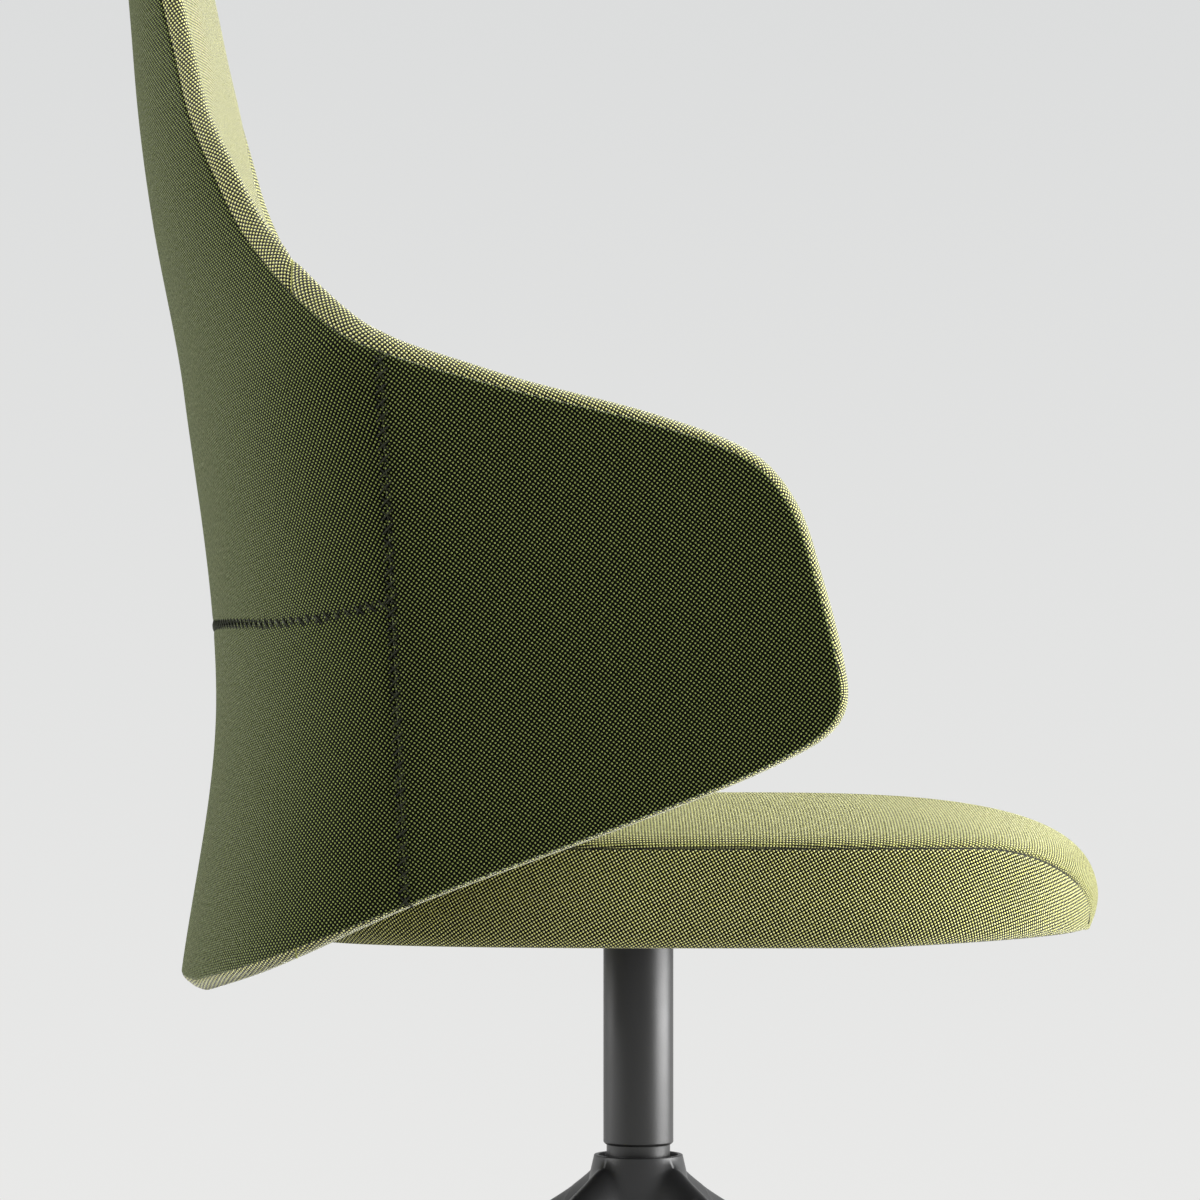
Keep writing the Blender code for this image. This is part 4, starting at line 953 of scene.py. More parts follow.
seat = {
    "halfWidth": 0.250,
    "front": 0.322,
    "rear": 0.244,
    "centre": -0.050,
    "squareness": 2.8,
    "bottom": 0.3622,
    "crown": 0.4635,
    "biasStart": 0.29,  # from here to the front the band's cloth is drawn up on the bias
    "biasSlope": 0.40,
    "biasRamp": 0.05,
    "frontFullness": 3.4,
    "sideFullness": 1.9,
    "seam": 0.4265,
    "seamDropStart": 0.216,
    "seamDropEnd": 0.3098,
    "seamEndShare": 0.03,
    "tuck": 0.006,
    "tuckHeight": 0.030,
    "steps": 400,
    "fineSteps": 8000,
    "sideRings": 22,
    "topRings": 60,
    "topSpread": (0.96, 2.4),  # reach of the rings towards the middle, and their crowding outwards
    "hems": ((0.006, None), (0.010, 0.016)),  # inset and height of the top cloth inside the band
    "seamSink": 0.0022,
    "seamReach": 0.0018,
    "seamFirm": 0.020,  # the seam sinks fully this far above the underside
    "underLines": ((0.0066, 0.0), (0.0030, 0.0), (0.0009, 0.0006)),  # cloth turned in under the tray
    "liftStart": 0.155,  # the underside rises from here to the front
    "liftSlope": 0.045,
    "clothThickness": 0.002,
}


def seatOutline(angle):
    reach = seat["rear"] - seat["centre"] if math.sin(angle) > 0 else seat["front"] + seat["centre"]
    power = 2 / seat["squareness"]
    across = math.copysign(abs(math.cos(angle)) ** power, math.cos(angle))
    along = math.copysign(abs(math.sin(angle)) ** power, math.sin(angle))
    return Vector((seat["halfWidth"] * across, reach * along))


# Underside of the seat at a depth from the column axis
def seatFoot(depth):
    return seat["bottom"] + seat["liftSlope"] * max(-depth - seat["liftStart"], 0.0)


def seamHeight(depth):
    drop = (-depth - seat["seamDropStart"]) / (seat["seamDropEnd"] - seat["seamDropStart"])
    level = math.sqrt(1 - min(max(drop, 0.0), 1.0) ** 2)
    foot = seatFoot(depth)
    return foot + (seat["seam"] - foot) * max(level, seat["seamEndShare"])


# Angles that lie evenly along the seam, and the girth of the outline up to each
def evenAngles():
    steps = seat["fineSteps"]
    fine = [2 * math.pi * step / steps - quarterTurn for step in range(steps + 1)]
    outline = [seatOutline(angle) for angle in fine]
    heights = [seamHeight(seat["centre"] + spot.y) for spot in outline]
    runs, girths = [0.0], [0.0]
    for index in range(1, len(fine)):
        girth = (outline[index] - outline[index - 1]).length
        girths.append(girths[-1] + girth)
        runs.append(runs[-1] + math.hypot(girth, heights[index] - heights[index - 1]))
    wanted = [runs[-1] * step / seat["steps"] for step in range(seat["steps"] + 1)]
    angles, places = [numpy.interp(wanted, runs, values).tolist() for values in (fine, girths)]
    return angles[:-1], places


seatAngles, seatGirths = evenAngles()
seatRim = [seatOutline(angle) for angle in seatAngles]
seatSeam = [seamHeight(seat["centre"] + spot.y) for spot in seatRim]
seatFeet = [seatFoot(seat["centre"] + spot.y) for spot in seatRim]
seatOut = []
for index in range(len(seatRim)):
    run = seatRim[(index + 1) % len(seatRim)] - seatRim[index - 1]
    seatOut.append(Vector((run.y, -run.x, 0.0)).normalized())


def seatPoint(index, shrink, height):
    spot = seatRim[index] * shrink
    return Vector((spot.x, axisY + seat["centre"] + spot.y, height))


# Inward pull of the cloth near the seam; it fades out where the seam runs along the bottom edge
def seamPull(index, away):
    firm = min((seatSeam[index] - seatFeet[index]) / seat["seamFirm"], 1.0)
    return seatOut[index] * -seat["seamSink"] * firm * max(1 - away / seat["seamReach"], 0.0) ** 2


# The cloth draws in towards the bottom edge
def tuckAt(rise):
    return 1 - seat["tuck"] / seat["halfWidth"] * max(1 - rise / seat["tuckHeight"], 0.0) ** 2


# The top panel falls off steeply at the front and gently at the sides
def topLine(index, share):
    foot, seam = seatFeet[index], seatSeam[index]
    level = (seam - foot) / (seat["seam"] - foot)
    fullness = seat["frontFullness"] + (seat["sideFullness"] - seat["frontFullness"]) * level
    rise = (1 - share ** fullness) ** (1 / fullness)
    height = seam + (seat["crown"] - seam) * rise
    point = seatPoint(index, share * tuckAt(height - foot), height)
    return point + seamPull(index, (point - seatPoint(index, tuckAt(seam - foot), seam)).length)


# Side band from under the tray's rim up to the seam
def seatBand():
    shape = startCloth()
    flat = pointLayer(shape, "flat")
    count = len(seatRim)
    levels = [step / seat["sideRings"] for step in range(1, seat["sideRings"] + 1)]
    lines = [(0.0, lap, lift) for lap, lift in seat["underLines"]]
    lines += [(level * (2 - level), 0.0, 0.0) for level in levels]
    loops = []
    for level, lap, lift in lines:
        loop = []
        for index in range(count + 1):
            spot = index % count
            rise = (seatSeam[spot] - seatFeet[spot]) * level
            point = seatPoint(spot, tuckAt(rise), seatFeet[spot] + rise + lift)
            point += seatOut[spot] * -lap + seamPull(spot, seatSeam[spot] - seatFeet[spot] - rise)
            corner = shape.verts.new(point)
            girth = seatGirths[index]
            ahead = max(seat["biasStart"] - min(girth, seatGirths[-1] - girth), 0.0)
            bias = seat["biasSlope"] * ahead * ahead / (ahead + seat["biasRamp"])
            corner[flat] = Vector((girth, rise - lap + bias, 0.0))
            loop.append(corner)
        loops.append(loop)
    for first, second in zip(loops, loops[1:]):
        for index in range(count):
            shape.faces.new((first[index], first[index + 1], second[index + 1], second[index]))
    mesh = meshFrom(shape, "seatBand")
    joined = bmesh.new()
    joined.from_mesh(mesh)
    bmesh.ops.remove_doubles(joined, verts=joined.verts[:], dist=1e-6)
    joined.to_mesh(mesh)
    joined.free()
    return mesh


# Top panel from the seam over the crown; its cloth lies flat from the middle outwards
def seatTop():
    shape = startCloth()
    flat = pointLayer(shape, "flat")
    count = len(seatRim)
    spread, crowding = seat["topSpread"]
    parts = [step / seat["topRings"] for step in range(seat["topRings"] + 1)]
    middle = Vector((0.0, axisY + seat["centre"], seat["crown"]))
    runs = [0.0] * count
    loops = []
    last = [middle] * count
    for part in parts[::-1]:
        ring = [topLine(index, 1 - spread * part ** crowding) for index in range(count)]
        loop = []
        for index, point in enumerate(ring):
            runs[index] += (point - last[index]).length
            corner = shape.verts.new(point)
            corner[flat] = seatRim[index].to_3d().normalized() * runs[index]
            loop.append(corner)
        last = ring
        loops.append(loop)
    pole = shape.verts.new(middle)
    for index in range(count):
        shape.faces.new((loops[0][index], loops[0][(index + 1) % count], pole))
    for inset, rise in seat["hems"]:
        hem = []
        for index, corner in enumerate(loops[-1]):
            height = corner.co.z if rise is None else min(seatFeet[index] + rise, corner.co.z)
            below = shape.verts.new((corner.co.x, corner.co.y, height))
            below.co += seatOut[index] * -inset
            below[flat] = corner[flat]
            hem.append(below)
        loops.append(hem)
    joinLoops(shape, *loops[::-1])
    shape.faces.new(loops[-1][::-1])
    return meshFrom(shape, "seatTop")


cushionParts = (
    ("seatBand", seatBand(), innerSide, ("seat_side_band",)),
    ("seatTop", seatTop(), shadedSeatCloth, ("seat_top_panel", "seat_foam")),
)
for name, mesh, surface, nodes in cushionParts:
    piece = addPiece(name, mesh, surface, "seat", "inner_woven_cloth", *nodes)
    if name == "seatBand":
        thicken(piece, seat["clothThickness"])
    print(name, len(piece.data.polygons))

stitch = {
    "crossPitch": 0.0086,
    "crossWidth": 0.0088,  # along the seam
    "crossHeight": 0.0100,  # across the seam
    "threadRadius": 0.00052,
    "lift": 0.0006,
    "topPitch": 0.0046,
    "topLength": 0.0034,
    "topRise": 0.0030,  # distance of the topstitch from the seat's seam
    "topRadius": 0.00026,
    "topFade": 0.012,  # it stops where the seam comes this near the underside
    "topStep": 0.0004,
    "topSpan": 0.004,
    "cordRadius": 0.0006,  # dark thread down in the seat's seam, painted shade: a dark cord where the seam's groove is in shade
    "cordFade": 0.004,
    "seamStart": 0.005,  # left without stitches at the low end of a side seam
    "seamSpare": 0.012,  # and at both of its ends together
    "seamSteps": 80,
    "backSpare": 0.03,
    "threadSteps": 5,
    "threadSides": 6,
    "threadSink": 0.6,  # of its radius, where it dips into the cloth
    "overlap": 1.5,  # of its radius, over the thread that it crosses
    "topLift": 0.6,
    "jitter": 0.05,
    "seed": 7,
}


# A thread lying on the cloth between two points, arched over its middle
def thread(shape, start, end, lift, radius):
    start, end = Vector(start), Vector(end)
    beside = (end - start).normalized().cross(up).normalized()
    turns = [2 * math.pi * side / stitch["threadSides"] for side in range(stitch["threadSides"])]
    loops = []
    for step in range(stitch["threadSteps"] + 1):
        part = step / stitch["threadSteps"]
        arch = 4 * part * (1 - part)
        rise = lift * arch - radius * stitch["threadSink"] * (1 - arch)
        centre = start.lerp(end, part) + up * rise
        rounds = [(beside * math.cos(turn) + up * math.sin(turn)) * radius for turn in turns]
        loops.append([shape.verts.new(centre + spot) for spot in rounds])
    joinLoops(shape, *loops)
    shape.faces.new(loops[0][::-1])
    shape.faces.new(loops[-1])


def stitchPiece(name, threads):
    shape = bmesh.new()
    for line in threads:
        thread(shape, *line)
    faceOut(shape)
    return addObject(name, meshFrom(shape, name, 80))


# Geometry tree with named inputs of the given socket types
def startTree(name, **sockets):
    tree = bpy.data.node_groups.new(name, "GeometryNodeTree")
    for label, kind in {"Geometry": "Geometry", **sockets}.items():
        tree.interface.new_socket(label, in_out="INPUT", socket_type="NodeSocket" + kind)
    tree.interface.new_socket("Geometry", in_out="OUTPUT", socket_type="NodeSocketGeometry")
    return tree, addNode(tree, "NodeGroupInput", {}).outputs


def endTree(tree, geometry, surface):
    coated = addNode(tree, "GeometryNodeSetMaterial", {"Geometry": geometry, "Material": surface})
    addNode(tree, "NodeGroupOutput", {0: coated.outputs[0]})
    return tree


# Ends a tree with the given piece at each point
def endWithPieces(tree, given, points, **settings):
    piece = addNode(tree, "GeometryNodeObjectInfo", {"Object": given["Piece"]})
    inputs = {"Points": points, "Instance": piece.outputs["Geometry"], **settings}
    repeated = addNode(tree, "GeometryNodeInstanceOnPoints", inputs)
    real = addNode(tree, "GeometryNodeRealizeInstances", {0: repeated.outputs[0]})
    return endTree(tree, real.outputs[0], given["Surface"])


# Repeats one piece along a line of edges: x along the line, z along the line's facing attribute
def sewingTree():
    kinds = {"Pitch": "Float", "Jitter": "Float", "Piece": "Object", "Surface": "Material"}
    tree, given = startTree("sewAlong", **kinds)
    line = addNode(tree, "GeometryNodeMeshToCurve", {"Mesh": given["Geometry"]})
    spacing = {"Curve": line.outputs[0], "Length": given["Pitch"]}
    spaced = addNode(tree, "GeometryNodeResampleCurve", spacing, mode="LENGTH")
    spots = addNode(tree, "GeometryNodeCurveToPoints", {"Curve": spaced.outputs[0]}, mode="EVALUATED")
    align = "FunctionNodeAlignRotationToVector"
    along = addNode(tree, align, {"Vector": spots.outputs["Tangent"]}, axis="X")
    named = "GeometryNodeInputNamedAttribute"
    facing = addNode(tree, named, {"Name": "facing"}, data_type="FLOAT_VECTOR")
    upright = {"Rotation": along.outputs[0], "Vector": facing.outputs[0]}
    laid = addNode(tree, align, upright, axis="Z", pivot_axis="X")
    least = addNode(tree, "ShaderNodeMath", {0: given["Jitter"], 1: -1.0}, operation="MULTIPLY")
    span = {2: least.outputs[0], 3: given["Jitter"], "Seed": stitch["seed"]}
    wobble = addNode(tree, "FunctionNodeRandomValue", span)
    swing = addNode(tree, "ShaderNodeCombineXYZ", {"Z": wobble.outputs[1]})
    asTurn = addNode(tree, "FunctionNodeEulerToRotation", {0: swing.outputs[0]})
    both = {"Rotation": laid.outputs[0], "Rotate By": asTurn.outputs[0]}
    turned = addNode(tree, "FunctionNodeRotateRotation", both, rotation_space="LOCAL")
    return endWithPieces(tree, given, spots.outputs[0], Rotation=turned.outputs[0])


# Sets a piece out at each point of a mesh
def settingTree():
    tree, given = startTree("setOut", Piece="Object", Surface="Material")
    return endWithPieces(tree, given, given["Geometry"])


# Lays one round thread along every line of edges
def cordTree():
    tree, given = startTree("cordAlong", Radius="Float", Surface="Material")
    line = addNode(tree, "GeometryNodeMeshToCurve", {"Mesh": given["Geometry"]})
    ring = {"Resolution": stitch["threadSides"], "Radius": given["Radius"]}
    section = addNode(tree, "GeometryNodeCurvePrimitiveCircle", ring)
    sweep = {"Curve": line.outputs[0], "Profile Curve": section.outputs[0]}
    swept = addNode(tree, "GeometryNodeCurveToMesh", sweep)
    return endTree(tree, swept.outputs[0], given["Surface"])


sewAlong, setOut, cordAlong = sewingTree(), settingTree(), cordTree()


# Runs a tree on a mesh and keeps the plain result
def runTree(name, mesh, tree, values):
    piece = addObject(name, mesh)
    change = piece.modifiers.new("nodes", "NODES")
    change.node_group = tree
    for socket in tree.interface.items_tree:
        if socket.in_out == "INPUT" and socket.name in values:
            change[socket.identifier] = values[socket.name]
    settle(piece)
    return piece


# Mesh of edges along lines of (point, facing)
def seamLineMesh(name, lines):
    points, edges, facings = [], [], []
    for line in lines:
        for index, (point, facing) in enumerate(line):
            if index:
                edges.append((len(points) - 1, len(points)))
            points.append(point)
            facings.append(facing)
    mesh = bpy.data.meshes.new(name)
    mesh.from_pydata(points, edges, [])
    layer = mesh.attributes.new("facing", "FLOAT_VECTOR", "POINT")
    for index, facing in enumerate(facings):
        layer.data[index].vector = facing
    return mesh


# Turn at which the shell meets the side seam's plane at one height
def seamTurn(height):
    part = (height - seamLowZ) / (seamHighZ - seamLowZ)
    return turnAt(seamLowY + (seamHighY - seamLowY) * part, height)


def shellSeamSpot(turn, height):
    into = inward(turn, height)
    return outerPoint(turn, height) + into * shell["coverSeamDepth"], -into


def coverSeamLines():
    steps = stitch["seamSteps"]
    span = seamHighZ - seamLowZ - stitch["seamSpare"]
    heights = [seamLowZ + stitch["seamStart"] + span * step / steps for step in range(steps + 1)]
    lines = [[shellSeamSpot(side * seamTurn(height), height) for height in heights] for side in (-1, 1)]
    last = seamTurn(shell["backSeam"]) - stitch["backSpare"]
    backLine = []
    for step in range(-steps, steps + 1):
        turn = last * step / steps
        depth = outerPoint(turn, shell["backSeam"]).y - axisY
        backLine.append(shellSeamSpot(turn, shell["backSeam"] + backSag(depth)))
    return lines + [backLine]


# Line of the topstitching, from where the seam has risen at one side of the front round to the other
def seatStitchLine():
    marks = []
    for index, out in enumerate(seatOut):
        if seatSeam[index] < seatFeet[index] + stitch["topFade"]:
            marks.append(None)
            continue
        start, share = topLine(index, 1.0), 1.0
        while (topLine(index, share) - start).length < stitch["topRise"]:
            share -= stitch["topStep"]
        lower = topLine(index, min(share + stitch["topStep"], 1.0))
        rise = topLine(index, share - stitch["topSpan"]) - lower
        facing = rise.cross(Vector((-out.y, out.x, 0.0))).normalized()
        if facing.dot(out + up * 0.5) < 0:
            facing = -facing
        marks.append((topLine(index, share), facing))
    first = next(i for i in range(len(marks)) if marks[i] and not marks[i - 1])
    return [[mark for mark in marks[first:] + marks[:first] if mark]]


def edgeMesh(name, edges):
    shape = bmesh.new()
    for first, second in edges:
        shape.edges.new((shape.verts.new(first), shape.verts.new(second)))
    bmesh.ops.remove_doubles(shape, verts=shape.verts[:], dist=1e-6)
    return meshFrom(shape, name)


# Edges of the seat's seam, apart from where it runs low round the front, for the dark cord that paints
# the shade in the seam's groove
def seatSeamShadeEdges():
    line = [topLine(index, 1.0) + out * stitch["cordRadius"] for index, out in enumerate(seatOut)]
    high = [seam - foot > stitch["cordFade"] for seam, foot in zip(seatSeam, seatFeet)]
    return [(line[i], line[i - 1]) for i in range(len(line)) if high[i] and high[i - 1]]


halfWide, halfHigh, halfTop = [stitch[key] / 2 for key in ("crossWidth", "crossHeight", "topLength")]
thick, thin = stitch["threadRadius"], stitch["topRadius"]
over = stitch["lift"] + thick * stitch["overlap"]
crossPiece = stitchPiece("crossStitch", (
    ((-halfWide, -halfHigh, 0), (halfWide, halfHigh, 0), stitch["lift"], thick),
    ((-halfWide, halfHigh, 0), (halfWide, -halfHigh, 0), over, thick),
))
topThread = ((-halfTop, 0, 0), (halfTop, 0, 0), thin * stitch["topLift"], thin)
straightPiece = stitchPiece("straightStitch", (topThread,))
coverSeams, seatSeams = coverSeamLines(), seatStitchLine()
for name, lines, pitch, piece, surface, slotName in (
    ("crossStitching", coverSeams, "crossPitch", crossPiece, darkThreadAndSeamShade, "outer_woven_cloth"),
    ("seatTopstitching", seatSeams, "topPitch", straightPiece, strawThread, "inner_woven_cloth"),
):
    values = {"Pitch": stitch[pitch], "Jitter": stitch["jitter"], "Piece": piece, "Surface": surface}
    sewing = runTree(name, seamLineMesh(name, lines), sewAlong, values)
    dressed(sewing, "seat", slotName)
    bpy.data.objects.remove(piece)
    print(name, len(sewing.data.polygons))
for name, edges, radius, surface in (
    # The seat's seam cord is dark thread put where the seam's groove is in shade: painted shade
    ("seatSeamCord", seatSeamShadeEdges(), stitch["cordRadius"], darkThreadAndSeamShade),
    ("padSeamCords", padSeamEdges, shell["cordRadius"], strawThread),
):
    cord = runTree(name, edgeMesh(name, edges), cordAlong, {"Radius": radius, "Surface": surface})
    dressed(cord, "seat", "inner_woven_cloth")


# Shape turned about the column axis, or about the origin for a piece that is set out later
def turnedMesh(name, profile, steps, joined, depth=axisY, sharpAngle=35):
    shape = bmesh.new()
    turns = [2 * math.pi * step / steps for step in range(steps)]
    loops = []
    for radius, height in profile:
        spots = [(radius * math.cos(turn), depth + radius * math.sin(turn), height) for turn in turns]
        loops.append([shape.verts.new(spot) for spot in spots])
    joinLoops(shape, *loops, *(loops[:1] if joined else ()))
    if not joined:
        shape.faces.new(loops[0])
        shape.faces.new(loops[-1])
    faceOut(shape)
    return meshFrom(shape, name, sharpAngle)


# Rounds the corners of a (radius, height) profile; bends maps a corner's index to its radius
def rounded(profile, bends, steps=5):
    line = []
    for index, spot in enumerate(profile):
        if index not in bends:
            line.append(spot)
            continue
        here = Vector(spot)
        before = (Vector(profile[index - 1]) - here).normalized() * bends[index]
        after = (Vector(profile[(index + 1) % len(profile)]) - here).normalized() * bends[index]
        for step in range(steps + 1):
            t = step / steps
            line.append(tuple(here + before * (1 - t) ** 2 + after * t * t))
    return line


column = {
    "radius": 0.025,
    "bore": 0.0230,
    "top": 0.368,
    "step": 0.2125,
    "chamfer": 0.0015,
    "neck": 0.0227,
    "neckEnd": 0.0215,
    "neckFoot": 0.198,
    "bottom": 0.124,
    "hole": 0.0195,
    "shoulder": 0.004,
    "round": 0.0005,
    "steps": 128,
}


def columnTube():
    wide, step, chamfer = column["radius"], column["step"], column["chamfer"]
    profile = [(column["bore"], column["top"]), (wide, column["top"]), (wide, step + chamfer)]
    profile += [(wide - chamfer, step), (column["neck"], step), (column["neck"], column["neckFoot"])]
    profile += [(column["neckEnd"], column["bottom"]), (column["hole"], column["bottom"])]
    profile += [(column[part], step + column["shoulder"]) for part in ("hole", "bore")]
    bends = {corner: column["round"] for corner in (1, 2, 3, 4)}
    return turnedMesh("columnTube", rounded(profile, bends), column["steps"], True)


addPiece("columnTube", columnTube(), columnCoat, "base", "column_powder_coat", "column_tube")

base = {
    "hubTop": 0.2052,
    "hubBottom": 0.120,
    "collarRadius": 0.0318,
    "collarFootRadius": 0.0346,
    "collarFoot": 0.192,
    "recessRadius": 0.0285,
    "rimRound": 0.001,
    "bossRadius": 0.029,
    "webReach": 0.062,
    "reach": 0.350,
    "rootHalf": 0.026,
    "tipHalf": 0.019,
    "wall": 0.005,
    "ridge": (
        (0.0346, 0.1975),
        (0.0385, 0.1962),
        (0.0426, 0.1935),
        (0.049, 0.1887),
        (0.066, 0.1777),
        (0.089, 0.1652),
        (0.150, 0.1335),
        (0.350, 0.040),
    ),
    "lowerEdge": ((0.040, 0.130), (0.160, 0.078), (0.300, 0.0142), (0.400, 0.0142)),
    "nose": 0.014,
    "noseStations": (0.8, 0.6, 0.42, 0.26, 0.13, 0.04, 0.0),
    "noseDrop": 0.005,
    "noseRounding": 0.8,
    "squareness": 3.5,
    "webFade": 0.030,
    "webCurve": 0.6,
    "glideReach": 0.325,
    "glideRadius": 0.017,
    "acrossSteps": 28,
    "webStations": 16,
    "armStations": 44,
    "armCrowding": 1.5,  # of the stations towards the web
    "fitGap": 0.0003,  # round the column's neck
}
ridgeLine = smoothCurve(base["ridge"])
lowerEdge = smoothCurve(base["lowerEdge"])
webSide, rootSide = [base[part] * math.sqrt(0.5) for part in ("webReach", "collarFootRadius")]
armTurns = [math.pi / 4 + quarterTurn * arm for arm in range(4)]


def armHalf(along):
    part = (along - webSide) / (base["reach"] - webSide)
    taper = base["rootHalf"] + (base["tipHalf"] - base["rootHalf"]) * part
    spare = webSide - base["rootHalf"]
    return taper + spare * math.exp(-(along - webSide) / spare)


# One line across an arm as (along, across, height), from one lower edge to the other
def armStation(place, underside):
    wall = base["wall"] if underside else 0.0
    pastWeb = max(place - webSide, 0.0)
    part = min((place - rootSide) / (webSide - rootSide), 1.0)
    fade = math.exp(-pastWeb / base["webFade"])
    nose = max((place - base["reach"] + base["nose"]) / base["nose"], 0.0)
    line = []
    for step in range(base["acrossSteps"] + 1):
        share = 2 * step / base["acrossSteps"] - 1
        if pastWeb > 1e-9:
            half = (armHalf(place) - wall) * math.sqrt(1 - base["noseRounding"] * nose * nose)
            along = place + (1 - share * share) * (base["webReach"] - webSide - wall) * fade
            across = share * half
            edge = lowerEdge(place)
        else:
            radius = place / math.sqrt(0.5) - wall * part
            along = radius * math.cos(share * math.pi / 4)
            across = radius * math.sin(share * math.pi / 4)
            foot = base["collarFoot"]
            edge = foot + (lowerEdge(webSide) - foot) * part ** base["webCurve"]
        ridge = ridgeLine(math.hypot(along, across)) - base["noseDrop"] * nose * nose
        flank = 1 - abs(share) ** base["squareness"]
        flank += (math.cos(share * quarterTurn) ** 2 - flank) * fade
        height = edge + (ridge - edge) * flank
        if underside and pastWeb > 1e-9:
            hollow = place < base["glideReach"] - base["glideRadius"] and abs(share) < 1
            height = max(edge, height - base["wall"]) if hollow else edge
        elif underside:
            height -= base["wall"] * (2 - part) if part < 1 or abs(share) < 1 else 0.0
        line.append((along, across, height))
    return line


# Pyramid casting: a collar, a concave web between the arms, and four tapering hollow arms
def baseCasting():
    webSteps, armSteps, wall = base["webStations"], base["armStations"], base["wall"]
    places = [rootSide + (webSide - rootSide) * step / webSteps for step in range(webSteps + 1)]
    span = base["reach"] - base["nose"] - webSide
    shares = [(step / armSteps) ** base["armCrowding"] for step in range(1, armSteps + 1)]
    places += [webSide + span * share for share in shares]
    places += [base["reach"] - base["nose"] * left for left in base["noseStations"]]
    floor, top, gap, foot = column["neckFoot"], base["hubTop"], base["fitGap"], base["collarFoot"]
    hub = [(column["neckEnd"] + gap, base["hubBottom"]), (column["neck"] + gap, floor)]
    hub += [(base["recessRadius"], floor), (base["recessRadius"], top), (base["collarRadius"], top)]
    hub.append((base["collarRadius"], foot))
    hub = rounded(hub, {3: base["rimRound"] / 2, 4: base["rimRound"]}, 3)[:-1]
    under = [(base["bossRadius"], height) for height in (foot - 3 * wall, base["hubBottom"])]
    shape = bmesh.new()
    for turn in armTurns:

        def placed(line):
            made = []
            for along, across, height in line:
                x = along * math.cos(turn) - across * math.sin(turn)
                y = along * math.sin(turn) + across * math.cos(turn)
                made.append(shape.verts.new((x, axisY + y, height)))
            return made

        def arc(radius, height):
            steps = base["acrossSteps"]
            ways = [math.pi / 4 * (2 * step / steps - 1) for step in range(steps + 1)]
            return placed([(radius * math.cos(way), radius * math.sin(way), height) for way in ways])

        tops = [placed(armStation(place, False)) for place in places]
        unders = [placed(armStation(place, True)) for place in places[1:]]
        lines = [arc(*spot) for spot in hub] + tops + unders[::-1] + [arc(*spot) for spot in under]
        edges = []
        for end in (0, -1):
            upper = [line[end] for line in tops[webSteps:]]
            edges.append((upper, [line[end] for line in unders[webSteps - 1:]]))
        for first, second in list(zip(lines, lines[1:] + lines[:1])) + edges:
            for index in range(len(first) - 1):
                shape.faces.new((first[index], first[index + 1], second[index + 1], second[index]))
    bmesh.ops.remove_doubles(shape, verts=shape.verts[:], dist=1e-6)
    faceOut(shape)
    return meshFrom(shape, "baseCasting", 42)


addPiece("baseCasting", baseCasting(), baseCoat, "base", "base_powder_coat", "base_casting")
print("column and base built")


# Sets a piece out at each of four spots as one object, which stands for the numbered nodes
def setOutPieces(name, mesh, spots, surface, body, slotName, nodeName):
    piece = addObject(name + "Piece", mesh)
    points = bpy.data.meshes.new(name)
    points.from_pydata(spots, [], [])
    made = runTree(name, points, setOut, {"Piece": piece, "Surface": surface})
    bpy.data.objects.remove(piece)
    dressed(made, body, slotName, *[f"{nodeName}_{number}" for number in range(1, 5)])


glide = {
    "radius": 0.017,
    "height": 0.0139,
    "round": 0.002,
    "dish": ((0.004, 0.0006), (0.012, 0.0)),  # radius and height of the hollow underneath
    "hole": 0.0043,
    "low": 0.009,
    "middle": 0.001,
    "steps": 64,
}


def glideFoot():
    wide, high, hole, low = [glide[part] for part in ("radius", "height", "hole", "low")]
    profile = [*glide["dish"], (wide, 0.0), (wide, high)]
    profile += [(hole, high), (hole, low), (glide["middle"], low)]
    profile = rounded(profile, {2: glide["round"], 3: glide["round"]})
    return turnedMesh("glideFoot", profile, glide["steps"], False, 0.0)


reach = base["glideReach"]
glideSpots = [(reach * math.cos(turn), axisY + reach * math.sin(turn), 0.0) for turn in armTurns]
setOutPieces(
    "glideFeet", glideFoot(), glideSpots, footPlastic, "base", "black_moulded_plastic", "glide_foot"
)

tray = {
    "inset": 0.0034,
    "opening": 0.029,
    "floor": 0.003,
    "rimHeight": 0.0137,
    "rimLap": 0.002,
    "edgeRound": 0.0015,
    "roundSteps": 4,
    "step": 0.0008,
    "stepInsets": (0.012, 0.0135),
    "panelInset": 0.02,
    "panelShares": (0.0, 0.25, 0.5, 0.75, 0.93),  # lines of the panel on the way to the opening
    "bossShare": 0.95,
    "screwPitch": (0.340, 0.260),
    "screwProud": 0.0004,
}


